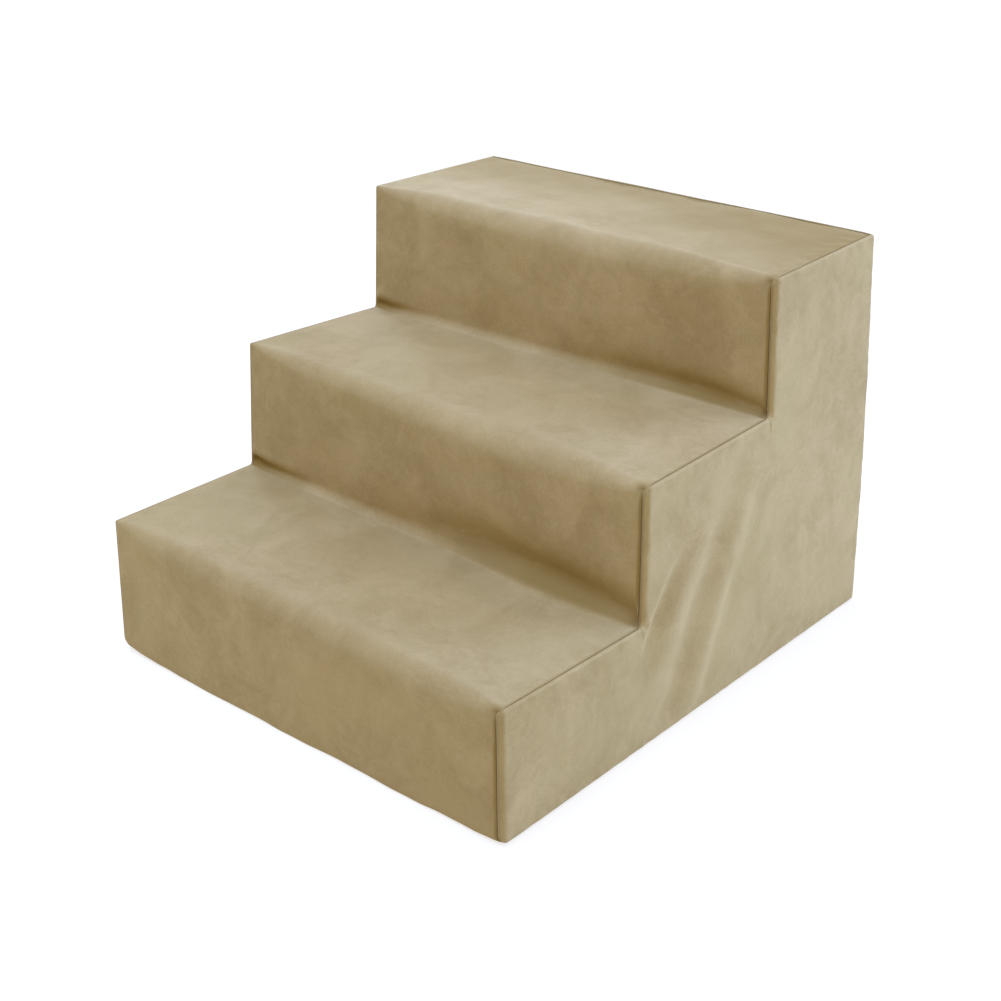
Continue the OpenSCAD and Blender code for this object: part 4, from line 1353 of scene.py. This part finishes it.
class PETSTAIRS_OT_zipper_chain(bpy.types.Operator):
    """Wind the two nylon coils whose turns lock into each other"""

    bl_idname = "pet_stairs.zipper_chain"
    bl_label = "Zipper chain"
    bl_options = {"REGISTER", "UNDO"}

    def execute(self, context):
        zipper = context.scene.stair_zipper
        middle_z = (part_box("zipper_upper_coil")[0].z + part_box("zipper_lower_coil")[1].z) / 2
        for name, node, up in (
            ("upper_coil", "zipper_upper_coil", 1), ("lower_coil", "zipper_lower_coil", -1)
        ):
            lo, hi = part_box(node)
            outer = hi.z - middle_z if up > 0 else middle_z - lo.z
            pitch, wire = zipper.coil_pitch, zipper.wire_radius
            high, deep = (outer + zipper.head) / 2 - wire, (hi.y - lo.y) / 2 - wire
            turns = int((hi.x - lo.x - 2 * wire) / pitch) - 1
            deselect()
            bpy.ops.mesh.primitive_circle_add(vertices=5, radius=1, location=(0, 0, high))
            piece = just_made(name)
            piece.scale = (wire, wire, wire)
            piece.rotation_euler = (0, math.radians(90), math.radians(90))
            settle_transform(piece)
            finish_with(
                piece, "SCREW", axis="X", steps=10, render_steps=10, iterations=turns, angle=2 * math.pi,
                screw_offset=pitch, use_merge_vertices=True, use_smooth_shade=True,
            )
            place = places_of(piece)
            place[:, 1] *= deep / high
            place[:, 0] += (lo.x + hi.x) / 2 - (place[:, 0].min() + place[:, 0].max()) / 2
            place[:, 0] += pitch / 4 * up
            place[:, 1] += (lo.y + hi.y) / 2
            place[:, 2] = middle_z + up * (place[:, 2] + (outer - zipper.head) / 2)
            move_points(piece, place)
            pick(piece)
            bpy.ops.object.mode_set(mode="EDIT")
            bpy.ops.mesh.select_all(action="SELECT")
            bpy.ops.mesh.edge_face_add()
            bpy.ops.mesh.select_all(action="SELECT")
            bpy.ops.mesh.normals_make_consistent(inside=False)
            bpy.ops.object.mode_set(mode="OBJECT")
            smooth(piece)
            dress(piece, moulded_nylon(zipper), "zipper_coil", "stairs", node)
        return {"FINISHED"}


class PETSTAIRS_OT_zipper_topstitching(bpy.types.Operator):
    """Sew the two rows of topstitches beside the zipper"""

    bl_idname = "pet_stairs.zipper_topstitching"
    bl_label = "Zipper topstitching"
    bl_options = {"REGISTER", "UNDO"}

    def execute(self, context):
        cover, zipper = context.scene.stair_cover, context.scene.stair_zipper
        for name, node in (
            ("upper_topstitching", "zipper_upper_stitches"), ("lower_topstitching", "zipper_lower_stitches")
        ):
            lo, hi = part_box(node)
            count = int(round((hi.x - lo.x - 0.003) / zipper.stitch_pitch)) + 1
            length, thick = hi.x - lo.x - (count - 1) * zipper.stitch_pitch, hi.z - lo.z
            deselect()
            bpy.ops.mesh.primitive_uv_sphere_add(segments=8, ring_count=6, radius=0.5)
            piece = just_made(name)
            piece.rotation_euler = (0, math.radians(90), 0)
            settle_transform(piece)
            piece.scale = (length, thick * 1.1, thick)
            piece.location = (lo.x + length / 2, BACK + thick * 0.12, (lo.z + hi.z) / 2)
            settle_transform(piece)
            sunk_ends = 0.00022
            for vert in piece.data.vertices:
                along = (vert.co.x - lo.x - length / 2) / (length / 2)
                vert.co.y -= sunk_ends * along**4
            finish_with(
                piece, "ARRAY", count=count, use_relative_offset=False, use_constant_offset=True,
                constant_offset_displace=(zipper.stitch_pitch, 0, 0),
            )
            smooth(piece)
            dress(piece, twisted_thread(cover), "sewing_thread", "stairs", node)
        return {"FINISHED"}


class PETSTAIRS_OT_zipper_metal(bpy.types.Operator):
    """Cast the slider, its pull tab and the stops at the ends of the chain"""

    bl_idname = "pet_stairs.zipper_metal"
    bl_label = "Slider and stops"
    bl_options = {"REGISTER", "UNDO"}

    def execute(self, context):
        zipper = context.scene.stair_zipper
        for name, node, body in (
            ("top_stops", "zipper_top_stops", "stairs"),
            ("bottom_stop", "zipper_bottom_stop", "stairs"),
            ("slider", "zipper_slider", "slider"),
            ("pull_tab", "zipper_pull_tab", "pull_tab"),
        ):
            piece = copy_of(node, name)
            finish_with(
                piece, "BEVEL", width=zipper.bevel, segments=2, limit_method="ANGLE",
                angle_limit=math.radians(40), use_clamp_overlap=True,
            )
            smooth(piece, 35)
            dress(piece, satin_enamel(zipper), "zipper_metal", body, node)
        return {"FINISHED"}


class PETSTAIRS_OT_stage(bpy.types.Operator):
    """Set the pale floor, the lamps and the camera"""

    bl_idname = "pet_stairs.stage"
    bl_label = "Stage"
    bl_options = {"REGISTER", "UNDO"}

    def execute(self, context):
        studio = context.scene.stair_studio
        self.floor()
        self.world(context, studio)
        cool = linear(studio.lamp_colour, False)
        self.lamp("Side lamp", (1.9, 2.2, 0.6), 1.7, studio.side_power, cool)
        self.lamp("Top lamp", (-0.3, -0.6, 3.8), 2.2, studio.top_power, cool)
        self.lamp("Left lamp", (-2.2, 1.2, 1.3), 1.0, studio.left_power, cool)
        self.camera(context, studio)
        context.scene.view_settings.view_transform = "Standard"
        return {"FINISHED"}

    def floor(self):
        """A floor that shows the shadow near the stairs and fades to plain white further off."""
        deselect()
        bpy.ops.mesh.primitive_plane_add(size=12, location=(0, 0, 0))
        floor = bpy.context.object
        floor.name = "Floor"
        material = bpy.data.materials.new("White floor")
        material.use_nodes = True
        material.node_tree.nodes.clear()
        add = adder(material.node_tree)
        warm = add("ShaderNodeBsdfDiffuse", Color=(0.78, 0.745, 0.62, 1)).outputs[0]
        pale = add("ShaderNodeBsdfDiffuse", Color=(0.33, 0.35, 0.4, 1)).outputs[0]
        glow = add("ShaderNodeEmission", Strength=0.74).outputs[0]
        near = add("ShaderNodeAddShader", None, pale, glow).outputs[0]
        place = add("ShaderNodeTexCoord").outputs["Object"]
        length = add("ShaderNodeVectorMath", {"operation": "LENGTH"}, place).outputs["Value"]
        fade_from, fade_to = 0.7, 1.6
        away = ranged(add, length, fade_from, fade_to)
        plain = add("ShaderNodeEmission").outputs[0]
        shown = add("ShaderNodeMixShader", None, away, near, plain).outputs[0]
        both = add("ShaderNodeMixShader", None, self.seen(add), warm, shown).outputs[0]
        add("ShaderNodeOutputMaterial", None, both)
        floor.data.materials.append(material)

    def world(self, context, studio):
        """A warm light from all round behind a background that shows plain white."""
        world = bpy.data.worlds.new("White room")
        context.scene.world = world
        world.use_nodes = True
        world.node_tree.nodes.clear()
        add = adder(world.node_tree)
        light = add("ShaderNodeBackground", Color=linear(studio.room_colour), Strength=studio.room_light)
        white = add("ShaderNodeBackground", Color=(1, 1, 1, 1), Strength=1.0)
        both = add("ShaderNodeMixShader", None, self.seen(add), light.outputs[0], white.outputs[0])
        add("ShaderNodeOutputWorld", None, both.outputs[0])

    def seen(self, add):
        """1 for rays from the camera, and for those that a gloss or glass sends on."""
        path = add("ShaderNodeLightPath").outputs
        sent = maths(add, "MAXIMUM", path["Is Glossy Ray"], path["Is Transmission Ray"])
        return maths(add, "MAXIMUM", path["Is Camera Ray"], sent)

    def lamp(self, name, place, size, power, colour):
        """A round lamp that looks at the stairs."""
        data = bpy.data.lights.new(name, "AREA")
        data.shape = "DISK"
        data.size = size
        data.energy = power
        data.color = colour
        lamp = bpy.data.objects.new(name, data)
        lamp.location = place
        target = Vector((0, 0, 0.15))
        lamp.rotation_euler = (target - Vector(place)).to_track_quat("-Z", "Y").to_euler()
        bpy.context.scene.collection.objects.link(lamp)

    def camera(self, context, studio):
        """The camera, turned, tilted and rolled as in the photograph."""
        data = bpy.data.cameras.new("Camera")
        data.sensor_width = 36
        data.lens = studio.lens
        data.shift_y = studio.shift_up
        data.clip_start = 0.05
        camera = bpy.data.objects.new("Camera", data)
        az, el = studio.azimuth, studio.elevation
        away = Vector((math.sin(az) * math.cos(el), -math.cos(az) * math.cos(el), math.sin(el)))
        right = Vector((math.cos(az), math.sin(az), 0))
        right = right * math.cos(studio.roll) + away.cross(right) * math.sin(studio.roll)
        turned = Matrix((right, away.cross(right), away)).transposed()
        camera.matrix_world = Matrix.Translation(studio.camera_place) @ turned.to_4x4()
        context.scene.collection.objects.link(camera)
        context.scene.camera = camera


OPERATORS = (
    PETSTAIRS_OT_step_panel,
    PETSTAIRS_OT_side_panels,
    PETSTAIRS_OT_back_panels,
    PETSTAIRS_OT_bottom_panel,
    PETSTAIRS_OT_seam_threads,
    PETSTAIRS_OT_foam_blocks,
    PETSTAIRS_OT_zipper_tapes,
    PETSTAIRS_OT_zipper_chain,
    PETSTAIRS_OT_zipper_topstitching,
    PETSTAIRS_OT_zipper_metal,
    PETSTAIRS_OT_stage,
)


class PETSTAIRS_PT_panel(bpy.types.Panel):
    """Lists the pieces of the pet stairs and their sizes"""

    bl_idname = "PETSTAIRS_PT_panel"
    bl_label = "Pet Stairs"
    bl_space_type = "VIEW_3D"
    bl_region_type = "UI"
    bl_category = "Pet Stairs"

    def draw(self, context):
        layout = self.layout
        for operator in OPERATORS:
            layout.operator(operator.bl_idname)
        for group in (context.scene.stair_cover, context.scene.stair_zipper, context.scene.stair_studio):
            box = layout.box()
            for key in group.__annotations__:
                box.prop(group, key)


CLASSES = (StairCover, StairZipper, StairStudio, *OPERATORS, PETSTAIRS_PT_panel)


def register():
    """Registers the classes and gives each scene its groups of sizes and colours."""
    for cls in CLASSES:
        bpy.utils.register_class(cls)
    bpy.types.Scene.stair_cover = PointerProperty(type=StairCover)
    bpy.types.Scene.stair_zipper = PointerProperty(type=StairZipper)
    bpy.types.Scene.stair_studio = PointerProperty(type=StairStudio)


def unregister():
    """Takes back what register did."""
    del bpy.types.Scene.stair_studio
    del bpy.types.Scene.stair_zipper
    del bpy.types.Scene.stair_cover
    for cls in reversed(CLASSES):
        bpy.utils.unregister_class(cls)


def main():
    """Makes every piece and the stage in order."""
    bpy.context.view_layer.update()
    register()
    bpy.ops.pet_stairs.step_panel()
    bpy.ops.pet_stairs.side_panels()
    bpy.ops.pet_stairs.back_panels()
    bpy.ops.pet_stairs.bottom_panel()
    bpy.ops.pet_stairs.seam_threads()
    bpy.ops.pet_stairs.foam_blocks()
    bpy.ops.pet_stairs.zipper_tapes()
    bpy.ops.pet_stairs.zipper_chain()
    bpy.ops.pet_stairs.zipper_topstitching()
    bpy.ops.pet_stairs.zipper_metal()
    bpy.ops.pet_stairs.stage()


if __name__ == "__main__":
    main()
